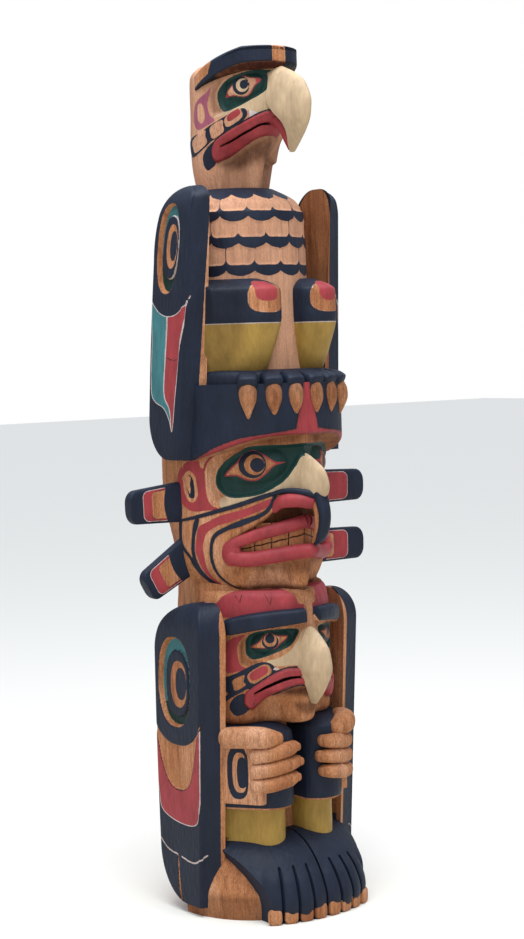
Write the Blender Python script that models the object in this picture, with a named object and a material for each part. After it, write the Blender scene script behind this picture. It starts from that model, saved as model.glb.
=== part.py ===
"""Carved and painted cedar totem pole: an eagle, a sun-like face with four
inserted ray boards, and a seated bird figure with hands on its knees.

The pole is carved from one log and stands on its flat sawn base.
Metres, +Z up, the figures face -Y, origin at the middle of the base.
Left and right are as seen from the front, so left is -X.
"""
import math

import bmesh
import bpy
from mathutils import Matrix, Vector

# Heights on the log
POLE_HEIGHT = 2.268
NECK_Z = 1.905
SHOULDER_Z = 1.875
UPPER_KNEE_TOP = 1.665
UPPER_ANKLE = 1.430
TALON_TIP = 1.306
BROW_BOTTOM = 1.262
CHIN_BOTTOM = 0.852
BROW_TAIL_TOP = 2.214
LOWER_CHIN = 0.505
CUFF_Z = 0.285

# Widths and depths of the log
LOG_RADIUS = 0.235
WAIST_RADIUS = 0.200
BASE_RADIUS = 0.250
BODY_HALF_WIDTH = 0.212
BACK_DEPTH = 0.228
CHEST_RADIUS = 0.165
NECK_BACK = 0.028

# Middle face: a wedge-like mask whose cheeks meet on the centre line
FACE_HALF_WIDTH = 0.237
FACE_DEPTH = 0.252
FACE_POWER = 1.3
FACE_LOFT_TOP = 1.300
FACE_TOP = 1.400
JAW_RISE = 0.125
JAW_HALF_WIDTH = 0.145

# Front corner of a wing's top, seen from the front
TOP_ROUND = 0.075

# Eagle's skull: height, half-width, front and back depths, and where they meet
SKULL = (
    (NECK_Z - 0.012, 0.098, 0.098, 0.098, NECK_BACK), (1.960, 0.111, 0.112, 0.110, 0.028),
    (2.010, 0.116, 0.135, 0.115, 0.026), (2.060, 0.118, 0.172, 0.118, 0.023),
    (2.110, 0.118, 0.198, 0.120, 0.020), (2.190, 0.118, 0.200, 0.120, 0.020),
    (2.216, 0.114, 0.190, 0.112, 0.020), (2.232, 0.100, 0.170, 0.092, 0.018),
)

# Lower head
HEAD_HALF_WIDTH = 0.205
HEAD_DEPTH = 0.245
HEAD_POWER = 1.5

# Ray boards let into the sides of the middle figure
RAY_THICKNESS = 0.030
RAY_Y = 0.004
RAY_GAP = 0.0003
RAY_ROOT = 0.185

RING_SIDES = 18
TUBE_SIDES = 7


def clear_scene():
    """Start from an empty scene."""
    for old in list(bpy.data.objects):
        bpy.data.objects.remove(old, do_unlink=True)


def paint(name, colour, roughness):
    """One plain painted-wood material."""
    material = bpy.data.materials.new(name)
    material.use_nodes = True
    shader = material.node_tree.nodes["Principled BSDF"]
    shader.inputs["Base Color"].default_value = (*colour, 1.0)
    shader.inputs["Roughness"].default_value = roughness
    shader.inputs["Metallic"].default_value = 0.0
    return material


def group(name):
    """A collection whose members are one operand of a Boolean."""
    made = bpy.data.collections.new(name)
    bpy.context.scene.collection.children.link(made)
    return made


def make(name, points, faces, members=None):
    """A closed mesh object with its faces pointing out."""
    mesh = bpy.data.meshes.new(name)
    mesh.from_pydata([tuple(p) for p in points], [], faces)
    edit = bmesh.new()
    edit.from_mesh(mesh)
    bmesh.ops.recalc_face_normals(edit, faces=edit.faces)
    if edit.calc_volume(signed=True) < 0:
        bmesh.ops.reverse_faces(edit, faces=edit.faces)
    bmesh.ops.triangulate(edit, faces=[face for face in edit.faces if len(face.verts) == 4])
    edit.to_mesh(mesh)
    edit.free()
    made = bpy.data.objects.new(name, mesh)
    if members is None:
        bpy.context.scene.collection.objects.link(made)
    else:
        members.objects.link(made)
        made.hide_render = True
        made.display_type = "WIRE"
    return made


def loft(name, rings, members=None):
    """Rings of equal length joined in order and closed by flat ends."""
    sides = len(rings[0])
    points = [p for ring in rings for p in ring]
    faces = [tuple(range(sides))]
    for level in range(len(rings) - 1):
        low = level * sides
        for i in range(sides):
            j = (i + 1) % sides
            faces.append((low + i, low + j, low + sides + j, low + sides + i))
    last = (len(rings) - 1) * sides
    faces.append(tuple(range(last + sides - 1, last - 1, -1)))
    return make(name, points, faces, members)


def power(value, exponent):
    """Signed power, for superellipses."""
    return math.copysign(abs(value) ** exponent, value)


def oval(z, half_width, front, back, y=0.0, front_power=2.0, back_power=2.0, sides=RING_SIDES):
    """A level ring: one superellipse in front of y and another behind it."""
    ring = []
    for i in range(sides):
        turn = 2 * math.pi * i / sides
        c, s = math.cos(turn), math.sin(turn)
        ahead = s < 0
        bend = 2 / (front_power if ahead else back_power)
        depth = front if ahead else back
        ring.append((half_width * power(c, bend), y + depth * power(s, bend), z))
    return ring


def tube(name, path, radii, members, sides=TUBE_SIDES, squash=1.0, up=(0, 0, 1)):
    """A tapering tube through the path's points; squash flattens it along up."""
    path = [Vector(p) for p in path]
    rings = []
    for i, point in enumerate(path):
        ahead = path[min(i + 1, len(path) - 1)] - path[max(i - 1, 0)]
        ahead.normalize()
        across = ahead.cross(Vector(up)).normalized()
        rise = across.cross(ahead).normalized()
        ring = []
        for k in range(sides):
            turn = 2 * math.pi * (k + 0.5) / sides
            out = across * math.cos(turn) + rise * math.sin(turn) * squash
            ring.append(point + out * radii[i])
        rings.append(ring)
    return loft(name, rings, members)


def arched_tube(name, half, radii, members, sides=TUBE_SIDES):
    """One tube across the centre line; half runs from its right end almost to the centre."""
    left = [(-x, y, z) for x, y, z in half]
    return tube(name, left + half[::-1], radii + radii[::-1], members, sides)


def blob(name, centre, size, turn, members, rows=5, sides=9):
    """An ellipsoid of half-sizes size, turned about Z by turn degrees."""
    rings = []
    spin = Matrix.Rotation(math.radians(turn), 3, "Z")
    for row in range(rows + 1):
        rise = -math.pi / 2 + math.pi * (row + 0.25) / (rows + 0.5)
        ring = []
        for k in range(sides):
            around = 2 * math.pi * k / sides
            flat = Vector((size[0] * math.cos(rise) * math.cos(around),
                           size[1] * math.cos(rise) * math.sin(around),
                           size[2] * math.sin(rise)))
            ring.append(Vector(centre) + spin @ flat)
        rings.append(ring)
    return loft(name, rings, members)


def both_sides(points):
    """The same points on the left and on the right."""
    yield "left", -1, [(-x, y, z) for x, y, z in points]
    yield "right", 1, list(points)


def on_face(x, z, lift=0.0):
    """A point of the middle face at half-width x, raised by lift along its slope."""
    reach = min(abs(x) / FACE_HALF_WIDTH, 0.999)
    y = -FACE_DEPTH * (1 - reach ** FACE_POWER) ** (1 / FACE_POWER)
    return (x + math.copysign(lift * 0.7, x) * (x != 0), y - lift * 0.75, z)


def on_head(x, z, lift=0.0):
    """The same on the lower head."""
    reach = min(abs(x) / HEAD_HALF_WIDTH, 0.999)
    front = HEAD_DEPTH - 0.03
    y = -0.03 - front * (1 - reach ** HEAD_POWER) ** (1 / HEAD_POWER)
    return (x + math.copysign(lift * 0.6, x) * (x != 0), y - lift * 0.8, z)


def on_eagle(x, z, lift=0.0):
    """The same on the eagle's head, between the two levels around z."""
    for low, high in zip(SKULL, SKULL[1:]):
        if low[0] <= z <= high[0]:
            break
    t = (z - low[0]) / (high[0] - low[0])
    half, front, y0 = (low[i] + (high[i] - low[i]) * t for i in (1, 2, 4))
    reach = min(abs(x) / half, 0.999)
    y = y0 - front * (1 - reach ** 1.5) ** (1 / 1.5)
    return (x + math.copysign(lift * 0.7, x) * (x != 0), y - lift * 0.75, z)


def core(members):
    """The log itself: base, lower body, waist, middle, upper body and shoulders."""
    levels = [
        (-0.020, 0.208, 0.243, 0.230), (0.035, 0.236, 0.245, 0.238), (0.065, BASE_RADIUS, 0.245, 0.240),
        (0.150, BODY_HALF_WIDTH, 0.140, 0.236), (0.230, BODY_HALF_WIDTH, 0.105, 0.232),
        (0.500, BODY_HALF_WIDTH, 0.105, BACK_DEPTH), (0.560, BODY_HALF_WIDTH, 0.150, BACK_DEPTH),
        (0.780, WAIST_RADIUS, 0.160, 0.218), (0.850, 0.196, 0.140, 0.212),
        (0.930, 0.197, 0.110, 0.212), (1.040, 0.222, 0.100, 0.226), (1.110, LOG_RADIUS, 0.100, LOG_RADIUS),
        (1.240, LOG_RADIUS, 0.105, LOG_RADIUS), (1.300, 0.225, 0.150, 0.230),
        (1.420, 0.213, 0.170, 0.224),
    ]
    rings = [oval(z, half, front, back) for z, half, front, back in levels]
    loft("log", rings, members)
    back = [oval(z, half, 0.03, depth) for z, half, depth in
            ((1.400, 0.212, 0.224), (1.780, 0.208, 0.212), (1.860, 0.196, 0.196), (1.884, 0.160, 0.160))]
    loft("upper_back", back, members)
    foot_side = [(-0.020, 0.266, 0.238), (0.060, 0.272, 0.240), (0.125, 0.266, 0.234),
                 (0.165, 0.246, 0.210), (0.195, 0.215, 0.160)]
    loft("right_base_shoulder", [[(x, y, z) for x, y in (
        (0.05, -depth), (half * 0.55, -depth * 1.0), (half * 0.85, -depth * 0.72), (half, -depth * 0.36),
        (half * 0.97, 0.0), (0.05, 0.0))] for z, half, depth in foot_side], members)
    chest = [(1.400, 0.172, 0.0), (1.800, CHEST_RADIUS, 0.0), (1.850, 0.160, 0.003),
             (SHOULDER_Z, 0.150, 0.008), (1.892, 0.132, 0.016), (NECK_Z + 0.005, 0.104, 0.024)]
    loft("chest", [oval(z, r, r, r, y) for z, r, y in chest], members)


def wing(name, side, outline, front_slope, spread, members):
    """An upright wing panel; the outline is (y, z) on its outer face.

    spread gives the (inner, outer) half-widths at the bottom and at the top,
    and front_slope moves the inner front edge forward.
    """
    low = min(z for _, z in outline)
    high = max(z for _, z in outline)
    rings = []
    for depth in (0.0, 0.16, 1.0):
        ring = []
        for y, z in outline:
            t = (z - low) / (high - low)
            inner = spread[0][0] + (spread[1][0] - spread[0][0]) * t
            outer = spread[0][1] + (spread[1][1] - spread[0][1]) * t
            above = max(0.0, (z - high + TOP_ROUND) / TOP_ROUND)
            outer -= 0.6 * TOP_ROUND * (1 - math.sqrt(1 - min(above, 1.0) ** 2))
            near_front = max(0.0, min(1.0, (-0.02 - y) / 0.06))
            inset = 0.006 if depth == 0.0 else 0.0
            middle_z = (low + high) / 2
            x = outer + (inner - outer) * depth
            ring.append((side * x, y - front_slope * depth * near_front + inset * near_front,
                         z - math.copysign(inset, z - middle_z)))
        rings.append(ring)
    return loft(name, rings, members)


def rounded_wing(front, back, low, high, top_round, bottom_round, brow):
    """Outline of a wing: straight front, arched top, slightly bowed back, rounded tail.

    front and back are (top, bottom) places along Y.
    """
    (front_top, front_bottom), (back_top, back_bottom) = front, back
    crest = front_top + 0.05
    points = []
    for i in range(3):
        t = i / 2
        points.append((front_bottom + (front_top - front_bottom) * t, low + (high - brow - 0.01 - low) * t))
    for i in range(5):
        t = math.pi / 2 * i / 4
        points.append((front_top + (crest - front_top) * (1 - math.cos(t)),
                       high - brow + brow * math.sin(t)))
    for i in range(6):
        t = math.pi / 2 * (i + 1) / 6
        points.append((crest + (back_top - crest) * math.sin(t), high - top_round * (1 - math.cos(t))))
    points.append(((back_top * 2 + back_bottom) / 3, (2 * (high - top_round) + low) / 3))
    points.append(((back_top + back_bottom * 2) / 3 + 0.004, (high - top_round + 2 * low) / 3))
    for i in range(5):
        t = math.pi / 2 * i / 4
        points.append((back_bottom - bottom_round * 0.8 * (1 - math.cos(t)),
                       low + bottom_round * (1 - math.sin(t))))
    return points


def ovoid_outline(y, z, half_y, half_z, count=12, bend=2.6):
    """The rounded box shape of the carved wells."""
    return [(y + half_y * power(math.cos(2 * math.pi * i / count), 2 / bend),
             z + half_z * power(math.sin(2 * math.pi * i / count), 2 / bend)) for i in range(count)]


def well(name, side, x_from, x_to, outline, members):
    """A block across X with the given (y, z) outline."""
    rings = [[(side * x, y, z) for y, z in outline] for x in (x_from, x_to)]
    return loft(name, rings, members)


def wings(forms, cuts, raised):
    """Both pairs of wings, each with its sunk ovoid and the raised one inside it."""
    upper = rounded_wing((-0.108, -0.050), (0.056, 0.076), 1.205, 1.904, 0.19, 0.11, 0.035)
    lower = rounded_wing((-0.120, -0.078), (0.096, 0.104), 0.026, 0.832, 0.14, 0.14, 0.085)
    for side_name, side in (("left", -1), ("right", 1)):
        wing(f"upper_wing_{side_name}", side, upper, 0.022,
             ((0.196, 0.277), (0.200, 0.248)), forms)
        well(f"upper_well_{side_name}", side, 0.238, 0.300,
             ovoid_outline(-0.018, 1.752, 0.050, 0.114), cuts)
        well(f"upper_inner_ovoid_{side_name}", side, 0.220, 0.247,
             ovoid_outline(-0.014, 1.752, 0.030, 0.082, 12), raised)
        wing(f"lower_wing_{side_name}", side, lower, 0.022,
             ((0.196, 0.258), (0.200, 0.268)), forms)
        well(f"lower_well_{side_name}", side, 0.245, 0.300,
             ovoid_outline(-0.004, 0.618, 0.068, 0.122), cuts)
        well(f"lower_inner_ovoid_{side_name}", side, 0.230, 0.254,
             ovoid_outline(-0.012, 0.612, 0.042, 0.088, 12), raised)


def eagle_head(forms, cuts, raised):
    """Head of the top figure with its overhanging brow, hooked beak and lips."""
    rings = [oval(z, half, front, back, y, 1.5 if z > 2.0 else 2.0) for z, half, front, back, y in SKULL]
    loft("eagle_skull", rings, forms)
    brow_rings = []
    for step, grow in ((0.0, 0.0), (0.25, 0.006), (0.85, 0.004), (1.0, -0.006)):
        ring = []
        for x, y, _ in oval(0, 0.119 + grow, 0.203 + grow, 0.045, 0.018, 2.2, 2.0):
            forward = max(0.0, min(1.0, (0.02 - y) / 0.15))
            top = BROW_TAIL_TOP + (POLE_HEIGHT - BROW_TAIL_TOP) * forward ** 0.7
            bottom = BROW_TAIL_TOP - 0.046 + 0.040 * forward ** 0.7
            ring.append((x, y, bottom + (top - bottom) * step))
        brow_rings.append(ring)
    loft("eagle_brow", brow_rings, forms)
    profile = [
        (2.212, 0.014, -0.190, 0.06), (2.190, 0.022, -0.240, 0.08), (2.164, 0.028, -0.276, 0.10),
        (2.124, 0.036, -0.297, 0.12), (2.092, 0.036, -0.296, 0.105), (2.068, 0.030, -0.290, 0.075),
        (2.040, 0.021, -0.274, 0.050), (1.990, 0.006, -0.232, 0.013),
    ]
    beak("eagle_beak", profile, forms)
    lip = [on_eagle(x, z, 0.004) for x, z in
           ((0.106, 1.990), (0.096, 2.006), (0.064, 2.054), (0.030, 2.082))]
    arched_tube("eagle_upper_lip", lip + [(0.011, -0.188, 2.073)],
                (0.008, 0.018, 0.019, 0.019, 0.017), forms, 6)
    lower = [(x, y + 0.004, z - 0.022) for x, y, z in lip] + [(0.010, -0.174, 2.051)]
    arched_tube("eagle_lower_lip", lower, (0.007, 0.013, 0.014, 0.014, 0.012), forms, 6)
    tube("eagle_palate", [(0.0, -0.170, 2.084), (0.0, -0.196, 2.060), (0.0, -0.214, 2.030)],
         (0.016, 0.015, 0.009), forms, 5, 1.0, (1, 0, 0))
    for name, side in (("left", -1), ("right", 1)):
        eye_at = on_eagle(side * 0.072, 2.160)
        blob(f"eagle_socket_{name}", (eye_at[0] + side * 0.006, eye_at[1] - 0.006, 2.152),
             (0.078, 0.020, 0.042), side * 52, cuts)
        blob(f"eagle_eye_{name}", on_eagle(side * 0.070, 2.168, -0.014),
             (0.034, 0.016, 0.024), side * 52, raised)


def beak(name, profile, members):
    """A hooked beak from level slices: height, half-width, front and depth back from it."""
    rings = []
    for z, half, front, depth in profile:
        ring = [(0.0, front, z), (half * 0.62, front + depth * 0.18, z), (half, front + depth * 0.55, z),
                (half, front + depth, z), (-half, front + depth, z), (-half, front + depth * 0.55, z),
                (-half * 0.62, front + depth * 0.18, z)]
        rings.append(ring)
    return loft(name, rings, members)


def drop_ring(side, cx, cy, radius, z, reach=0.205, arc=7):
    """Level section of a leg: round in front, with a flank that runs back to the wing."""
    flank = math.radians(53)
    ring = []
    start, stop = math.radians(180 + 20), math.radians(360 - 37)
    for i in range(arc):
        turn = start + (stop - start) * i / (arc - 1)
        ring.append((cx + radius * math.cos(turn), cy + radius * math.sin(turn)))
    edge_x, edge_y = ring[-1]
    ring.append((reach, edge_y + (reach - edge_x) * math.tan(flank)))
    ring.append((reach, 0.06))
    ring.append((cx - radius * 0.9, 0.06))
    return [(side * x, y, z) for x, y in ring]


def upper_legs(forms):
    """Knees and tapering shanks of the eagle."""
    levels = [
        (UPPER_ANKLE - 0.010, 0.094, -0.143, 0.039), (1.480, 0.093, -0.158, 0.050),
        (1.553, 0.092, -0.176, 0.060), (1.635, 0.091, -0.177, 0.061),
        (1.655, 0.091, -0.166, 0.052), (UPPER_KNEE_TOP, 0.091, -0.145, 0.034),
    ]
    for name, side in (("left", -1), ("right", 1)):
        rings = [drop_ring(side, cx, cy, r, z) for z, cx, cy, r in levels]
        loft(f"upper_leg_{name}", rings, forms)


def upper_feet(forms):
    """Both feet of the eagle: one slab between the wings, with toes and talons."""
    slab = [(1.365, 0.210, 0.222), (1.385, 0.214, 0.232), (1.425, 0.214, 0.226), (1.434, 0.206, 0.205)]
    loft("upper_feet", [oval(z, half, front, 0.02, 0.0, 2.6) for z, half, front in slab], forms)
    toes = ((0.033, -0.250, 0.030), (0.093, -0.236, 0.031), (0.155, -0.208, 0.032))
    for index, (x, y, radius) in enumerate(toes):
        turn = math.atan2(x, -y)
        back = Vector((math.sin(turn), -math.cos(turn), 0))
        for name, side, points in both_sides([
                (x + back.x * out, y + back.y * out, z) for out, z in
                ((-0.07, 1.412), (-0.02, 1.414), (0.004, 1.396), (0.010, 1.376))]):
            tube(f"upper_toe_{index}_{name}", points,
                 (radius * 0.9, radius, radius * 0.97, radius * 0.62), forms, 6, 1.0)
            hook = [(points[3][0] * out, points[3][1] * out, z) for out, z in
                    ((1.0, 1.392), (1.01, 1.372), (1.01, 1.342), (0.985, TALON_TIP))]
            tube(f"talon_{index}_{name}", hook, (0.018, 0.0200, 0.0165, 0.003), forms, 6, 1.0, (0, 1, 0))


def middle_face(forms, cuts, raised):
    """The sun-like face: brow slab, cheeks, nose, open mouth with teeth and lips."""
    rings = []
    for z in (CHIN_BOTTOM, 0.866, 0.890, 0.925, 0.975, 1.060, 1.140, 1.215, FACE_LOFT_TOP):
        rise = max(0.0, min(1.0, (CHIN_BOTTOM + JAW_RISE - z) / JAW_RISE))
        half = JAW_HALF_WIDTH + (FACE_HALF_WIDTH - JAW_HALF_WIDTH) * math.sqrt(1 - rise ** 2)
        rings.append(oval(z, half, FACE_DEPTH - 0.012 * rise, 0.02, 0.0, FACE_POWER, 2.0, 18))
    loft("middle_cheeks", rings, forms)
    brow = []
    for step in (0.0, 0.10, 0.92, 1.0):
        ring = []
        for x, y, _ in oval(0, 0.233, 0.256, 0.02, 0.0, 1.75):
            middle = 1 - min(1.0, abs(x) / 0.21)
            bottom = BROW_BOTTOM - 0.046 + 0.062 * math.sqrt(middle)
            tuck = 0.97 if step in (0.0, 1.0) else 1.0
            ring.append((x * tuck, y * tuck, bottom + (FACE_TOP - bottom) * step))
        brow.append(ring)
    loft("middle_brow", brow, forms)
    for name, side in (("left", -1), ("right", 1)):
        at = on_face(side * 0.112, 1.170)
        blob(f"middle_socket_{name}", (at[0] + side * 0.008, at[1] - 0.010, 1.172),
             (0.108, 0.026, 0.066), side * 47, cuts, 5, 12)
        blob(f"middle_eye_{name}", on_face(side * 0.112, 1.186, -0.016), (0.068, 0.024, 0.042),
             side * 47, raised, 5, 10)
    nose = [
        (1.218, 0.010, -0.232, 0.06), (1.208, 0.014, -0.262, 0.08), (1.176, 0.021, -0.316, 0.12),
        (1.138, 0.028, -0.336, 0.13), (1.108, 0.029, -0.330, 0.12), (1.096, 0.022, -0.306, 0.10),
    ]
    beak("middle_nose", nose, forms)
    opening = ((0.150, 0.972), (0.148, 0.988), (0.100, 1.040), (0.060, 1.084), (0.020, 1.088))
    mouth = [on_face(-x, z, 0.03) for x, z in opening] + [on_face(x, z, 0.03) for x, z in reversed(opening)]
    mouth += [on_face(x, 0.955, 0.03) for x in (0.075, 0.0, -0.075)]
    inward = [(x * 0.82, y + 0.075, z) for x, y, z in mouth]
    loft("middle_mouth", [mouth, inward], cuts)
    arch = ((0.092, 1.056), (0.066, 1.092), (0.034, 1.103), (0.009, 1.088))
    upper = ((0.158, 0.980), (0.120, 0.996), (0.070, 1.018), (0.009, 1.034))
    lower = ((0.164, 0.962), (0.130, 0.946), (0.065, 0.950), (0.009, 0.959))
    for title, path, lift, radii in (("upper_beak_edge", arch, 0.000, (0.012, 0.017, 0.018, 0.018)),
                                     ("upper_lip", upper, -0.004, (0.019, 0.016, 0.015, 0.014)),
                                     ("lower_lip", lower, 0.006, (0.024, 0.026, 0.025, 0.024))):
        arched_tube(f"middle_{title}", [on_face(x, z, lift) for x, z in path], radii, raised, 6)
    row = ((0.145, 0.965), (0.140, 0.990), (0.070, 1.012), (0.0, 1.028))
    teeth = [on_face(-x, z, -0.020) for x, z in row] + [on_face(x, z, -0.020) for x, z in reversed(row[:-1])]
    teeth += [on_face(x, 0.950, -0.020) for x in (0.070, 0.0, -0.070)]
    loft("middle_teeth", [teeth, [(x * 0.82, y + 0.05, z) for x, y, z in teeth]], raised)
    flap = [(0.0, -0.290, 1.108), (0.0, -0.309, 1.066), (0.0, -0.307, 1.030),
            (0.0, -0.292, 0.998), (0.0, -0.264, 0.964)]
    tube("middle_beak_flap", flap, (0.026, 0.024, 0.022, 0.018, 0.010), raised, 6, 0.9, (1, 0, 0))


def lower_head(forms, cuts, raised):
    """Head of the seated figure with its brow, hooked beak, lips and chin."""
    levels = [
        (LOWER_CHIN, 0.196, 0.190, 1.6), (0.530, 0.202, 0.203, 1.6), (0.600, HEAD_HALF_WIDTH, 0.213, 1.5),
        (0.700, HEAD_HALF_WIDTH, 0.215, 1.5), (0.790, 0.204, 0.213, 1.5), (0.845, 0.196, 0.205, 1.5),
        (0.858, 0.186, 0.190, 1.5),
    ]
    rings = [oval(z, half, front, 0.06, -0.03, p, 2.0, 18) for z, half, front, p in levels]
    loft("lower_skull", rings, forms)
    brow = [on_head(x, z, 0.008) for x, z in ((0.172, 0.756), (0.140, 0.764), (0.090, 0.776), (0.013, 0.786))]
    arched_tube("lower_brow", brow, (0.022, 0.027, 0.029, 0.029), forms, 7)
    for name, side in (("left", -1), ("right", 1)):
        at = on_head(side * 0.098, 0.716)
        blob(f"lower_socket_{name}", (at[0] + side * 0.008, at[1] - 0.008, 0.717),
             (0.070, 0.022, 0.040), side * 44, cuts)
        blob(f"lower_eye_{name}", on_head(side * 0.094, 0.722, -0.012),
             (0.040, 0.018, 0.026), side * 44, raised)
    profile = [
        (0.766, 0.014, -0.228, 0.04), (0.750, 0.022, -0.270, 0.08), (0.712, 0.031, -0.311, 0.11),
        (0.676, 0.037, -0.322, 0.11), (0.652, 0.036, -0.322, 0.09), (0.630, 0.029, -0.314, 0.075),
        (0.600, 0.019, -0.297, 0.052), (0.560, 0.006, -0.262, 0.014),
    ]
    beak("lower_beak", profile, forms)
    lip = [on_head(x, z, 0.002) for x, z in
           ((0.146, 0.572), (0.118, 0.598), (0.074, 0.634), (0.034, 0.646))]
    arched_tube("head_upper_lip", lip + [(0.012, -0.248, 0.626)],
                (0.016, 0.019, 0.020, 0.020, 0.018), forms, 6)
    lower = [(x, y + 0.004, z - 0.020) for x, y, z in lip] + [(0.011, -0.240, 0.606)]
    arched_tube("head_lower_lip", lower, (0.013, 0.014, 0.015, 0.015, 0.013), forms, 6)
    tube("head_palate", [(0.0, -0.232, 0.632), (0.0, -0.256, 0.606), (0.0, -0.264, 0.580)],
         (0.016, 0.015, 0.009), forms, 5, 1.0, (1, 0, 0))


def lower_legs(forms):
    """Knees, cuffs and shins of the seated figure, with a hand on each knee."""
    levels = [
        (0.120, 0.080, -0.136, 0.050), (CUFF_Z - 0.001, 0.080, -0.138, 0.0505),
        (CUFF_Z, 0.082, -0.154, 0.062), (0.340, 0.082, -0.157, 0.064), (0.470, 0.082, -0.157, 0.064),
        (0.492, 0.082, -0.150, 0.058), (0.502, 0.084, -0.135, 0.045),
    ]
    for name, side in (("left", -1), ("right", 1)):
        rings = [drop_ring(side, cx, cy, r, z) for z, cx, cy, r in levels]
        loft(f"lower_leg_{name}", rings, forms)
        palm = [(0.206, -0.112), (0.158, -0.186), (0.140, -0.208),
                (0.070, -0.212), (0.070, -0.120), (0.206, -0.080)]
        loft(f"palm_{name}", [[(side * x, y, z) for x, y in palm] for z in (0.318, 0.452)], forms)
    reach = ((0.414, 0.030, 0.042), (0.374, 0.036, 0.034), (0.335, 0.030, 0.044))
    for index, (z, rise, tip) in enumerate(reach):
        path = [(0.152, -0.186, z), (0.120, -0.216, z + 0.004),
                (0.080, -0.228, z + 0.009), (tip, -0.214, z + 0.014)]
        for name, side, points in both_sides(path):
            tube(f"finger_{index}_{name}", points, (0.0250, 0.0240, 0.0215, 0.011), forms, 7)
    thumb = [(0.190, -0.130, 0.462), (0.160, -0.184, 0.462), (0.128, -0.214, 0.460), (0.098, -0.222, 0.458)]
    for name, side, points in both_sides(thumb):
        tube(f"thumb_{name}", points, (0.024, 0.026, 0.026, 0.014), forms, 7)


def lower_feet(forms):
    """Feet with four toes each, a groove between them and slots between the toes."""
    for name, side in (("left", -1), ("right", 1)):
        rings = []
        for z, front, half in ((-0.016, 0.274, 0.152), (0.050, 0.286, 0.154), (0.100, 0.270, 0.152),
                               (0.145, 0.242, 0.147), (0.178, 0.208, 0.140), (0.200, 0.160, 0.132)):
            ring = []
            for i in range(7):
                x = 0.003 + (half - 0.003) * i / 6
                crown = 0.008 * math.sin(math.pi * i / 6)
                ring.append((side * x, -math.sqrt(max(front ** 2 - x ** 2 * 0.75, 0.01)) - crown, z))
            ring.append((side * half, -0.09, z))
            ring.append((side * 0.003, -0.09, z))
            rings.append(ring)
        loft(f"foot_{name}", rings, forms)
        for toe in range(4):
            turn = math.radians(4.9 + 8.6 * toe)
            out = Vector((side * math.sin(turn), -math.cos(turn), 0))
            radii = (0.014, 0.0205, 0.0205, 0.018)
            places = ((0.222, 0.124), (0.260, 0.086), (0.276, 0.045), (0.278, -0.008))
            tube(f"toe_{toe}_{name}", [out * r + Vector((0, 0, z)) for r, z in places], radii, forms, 6)


def ray_outline(drop, reach, half_root, half_tip):
    """Outline (x, z) of a ray board about its own middle line, with rounded outer corners."""
    length = reach - RAY_ROOT
    corner = 0.022
    points = [(0.0, -half_root), (length - corner, -half_tip)]
    for i in range(1, 5):
        turn = math.pi / 2 * i / 4
        points.append((length - corner + corner * math.sin(turn), -half_tip + corner * (1 - math.cos(turn))))
    points.extend([(length, half_tip - corner)])
    for i in range(1, 5):
        turn = math.pi / 2 * i / 4
        points.append((length - corner * (1 - math.cos(turn)), half_tip - corner + corner * math.sin(turn)))
    points.append((0.0, half_root))
    tilt = math.radians(-drop)
    return [(RAY_ROOT + x * math.cos(tilt) - z * math.sin(tilt), x * math.sin(tilt) + z * math.cos(tilt))
            for x, z in points]


# Node, side, height at the root, droop in degrees, reach, half-height at root and at tip
RAYS = (
    ("ray_upper_left", -1, 1.094, 2.0, 0.392, 0.056, 0.043),
    ("ray_upper_right", 1, 1.102, 1.0, 0.392, 0.048, 0.043),
    ("ray_lower_left", -1, 0.962, 29.0, 0.368, 0.052, 0.042),
    ("ray_lower_right", 1, 0.938, 1.0, 0.388, 0.048, 0.044),
)


def ray_boards(slots, colour):
    """The four boards and the slots cut for them in the log."""
    for name, side, z, drop, reach, half_root, half_tip in RAYS:
        outline = ray_outline(drop, reach, half_root, half_tip)
        front, back = RAY_Y - RAY_THICKNESS / 2, RAY_Y + RAY_THICKNESS / 2
        rings = [[(side * x, y, z + rise) for x, rise in outline] for y in (front, back)]
        board = make_board(name, rings)
        board.data.materials.append(colour)
        cutter = []
        for y in (front - RAY_GAP, back + RAY_GAP):
            grown = []
            middle_x = sum(x for x, _ in outline) / len(outline)
            for x, rise in outline:
                above = rise + (x - RAY_ROOT) * math.sin(math.radians(drop))
                grown.append((side * (x + math.copysign(RAY_GAP, x - middle_x)), y,
                              z + rise + math.copysign(RAY_GAP, above)))
            cutter.append(grown)
        loft(f"slot_for_{name}", cutter, slots)


def make_board(name, rings):
    """One ray board, slightly tapered to its edges by a bevel."""
    board = loft(name, rings)
    bevel = board.modifiers.new("worn edges", "BEVEL")
    bevel.width = 0.003
    bevel.segments = 1
    bevel.limit_method = "ANGLE"
    bevel.angle_limit = math.radians(50)
    return board


def sawn_base(cuts):
    """The flat saw cut that the pole stands on."""
    corners = [(-0.5, -0.5), (0.5, -0.5), (0.5, 0.5), (-0.5, 0.5)]
    loft("saw_cut", [[(x, y, z) for x, y in corners] for z in (-0.1, 0.0)], cuts)


def join_pole(forms, cuts, raised, slots, colour):
    """Union of the carved forms, less the recesses, plus what stands in them."""
    seed = forms.objects["log"]
    pole = bpy.data.objects.new("carved_pole", seed.data)
    bpy.context.scene.collection.objects.link(pole)
    bpy.data.objects.remove(seed, do_unlink=True)
    pole.data.materials.append(colour)
    for title, operation, members in (("forms", "UNION", forms), ("recesses", "DIFFERENCE", cuts),
                                      ("raised", "UNION", raised), ("ray slots", "DIFFERENCE", slots)):
        step = pole.modifiers.new(title, "BOOLEAN")
        step.operation = operation
        step.operand_type = "COLLECTION"
        step.collection = members
        step.solver = "EXACT"
    return pole


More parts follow.
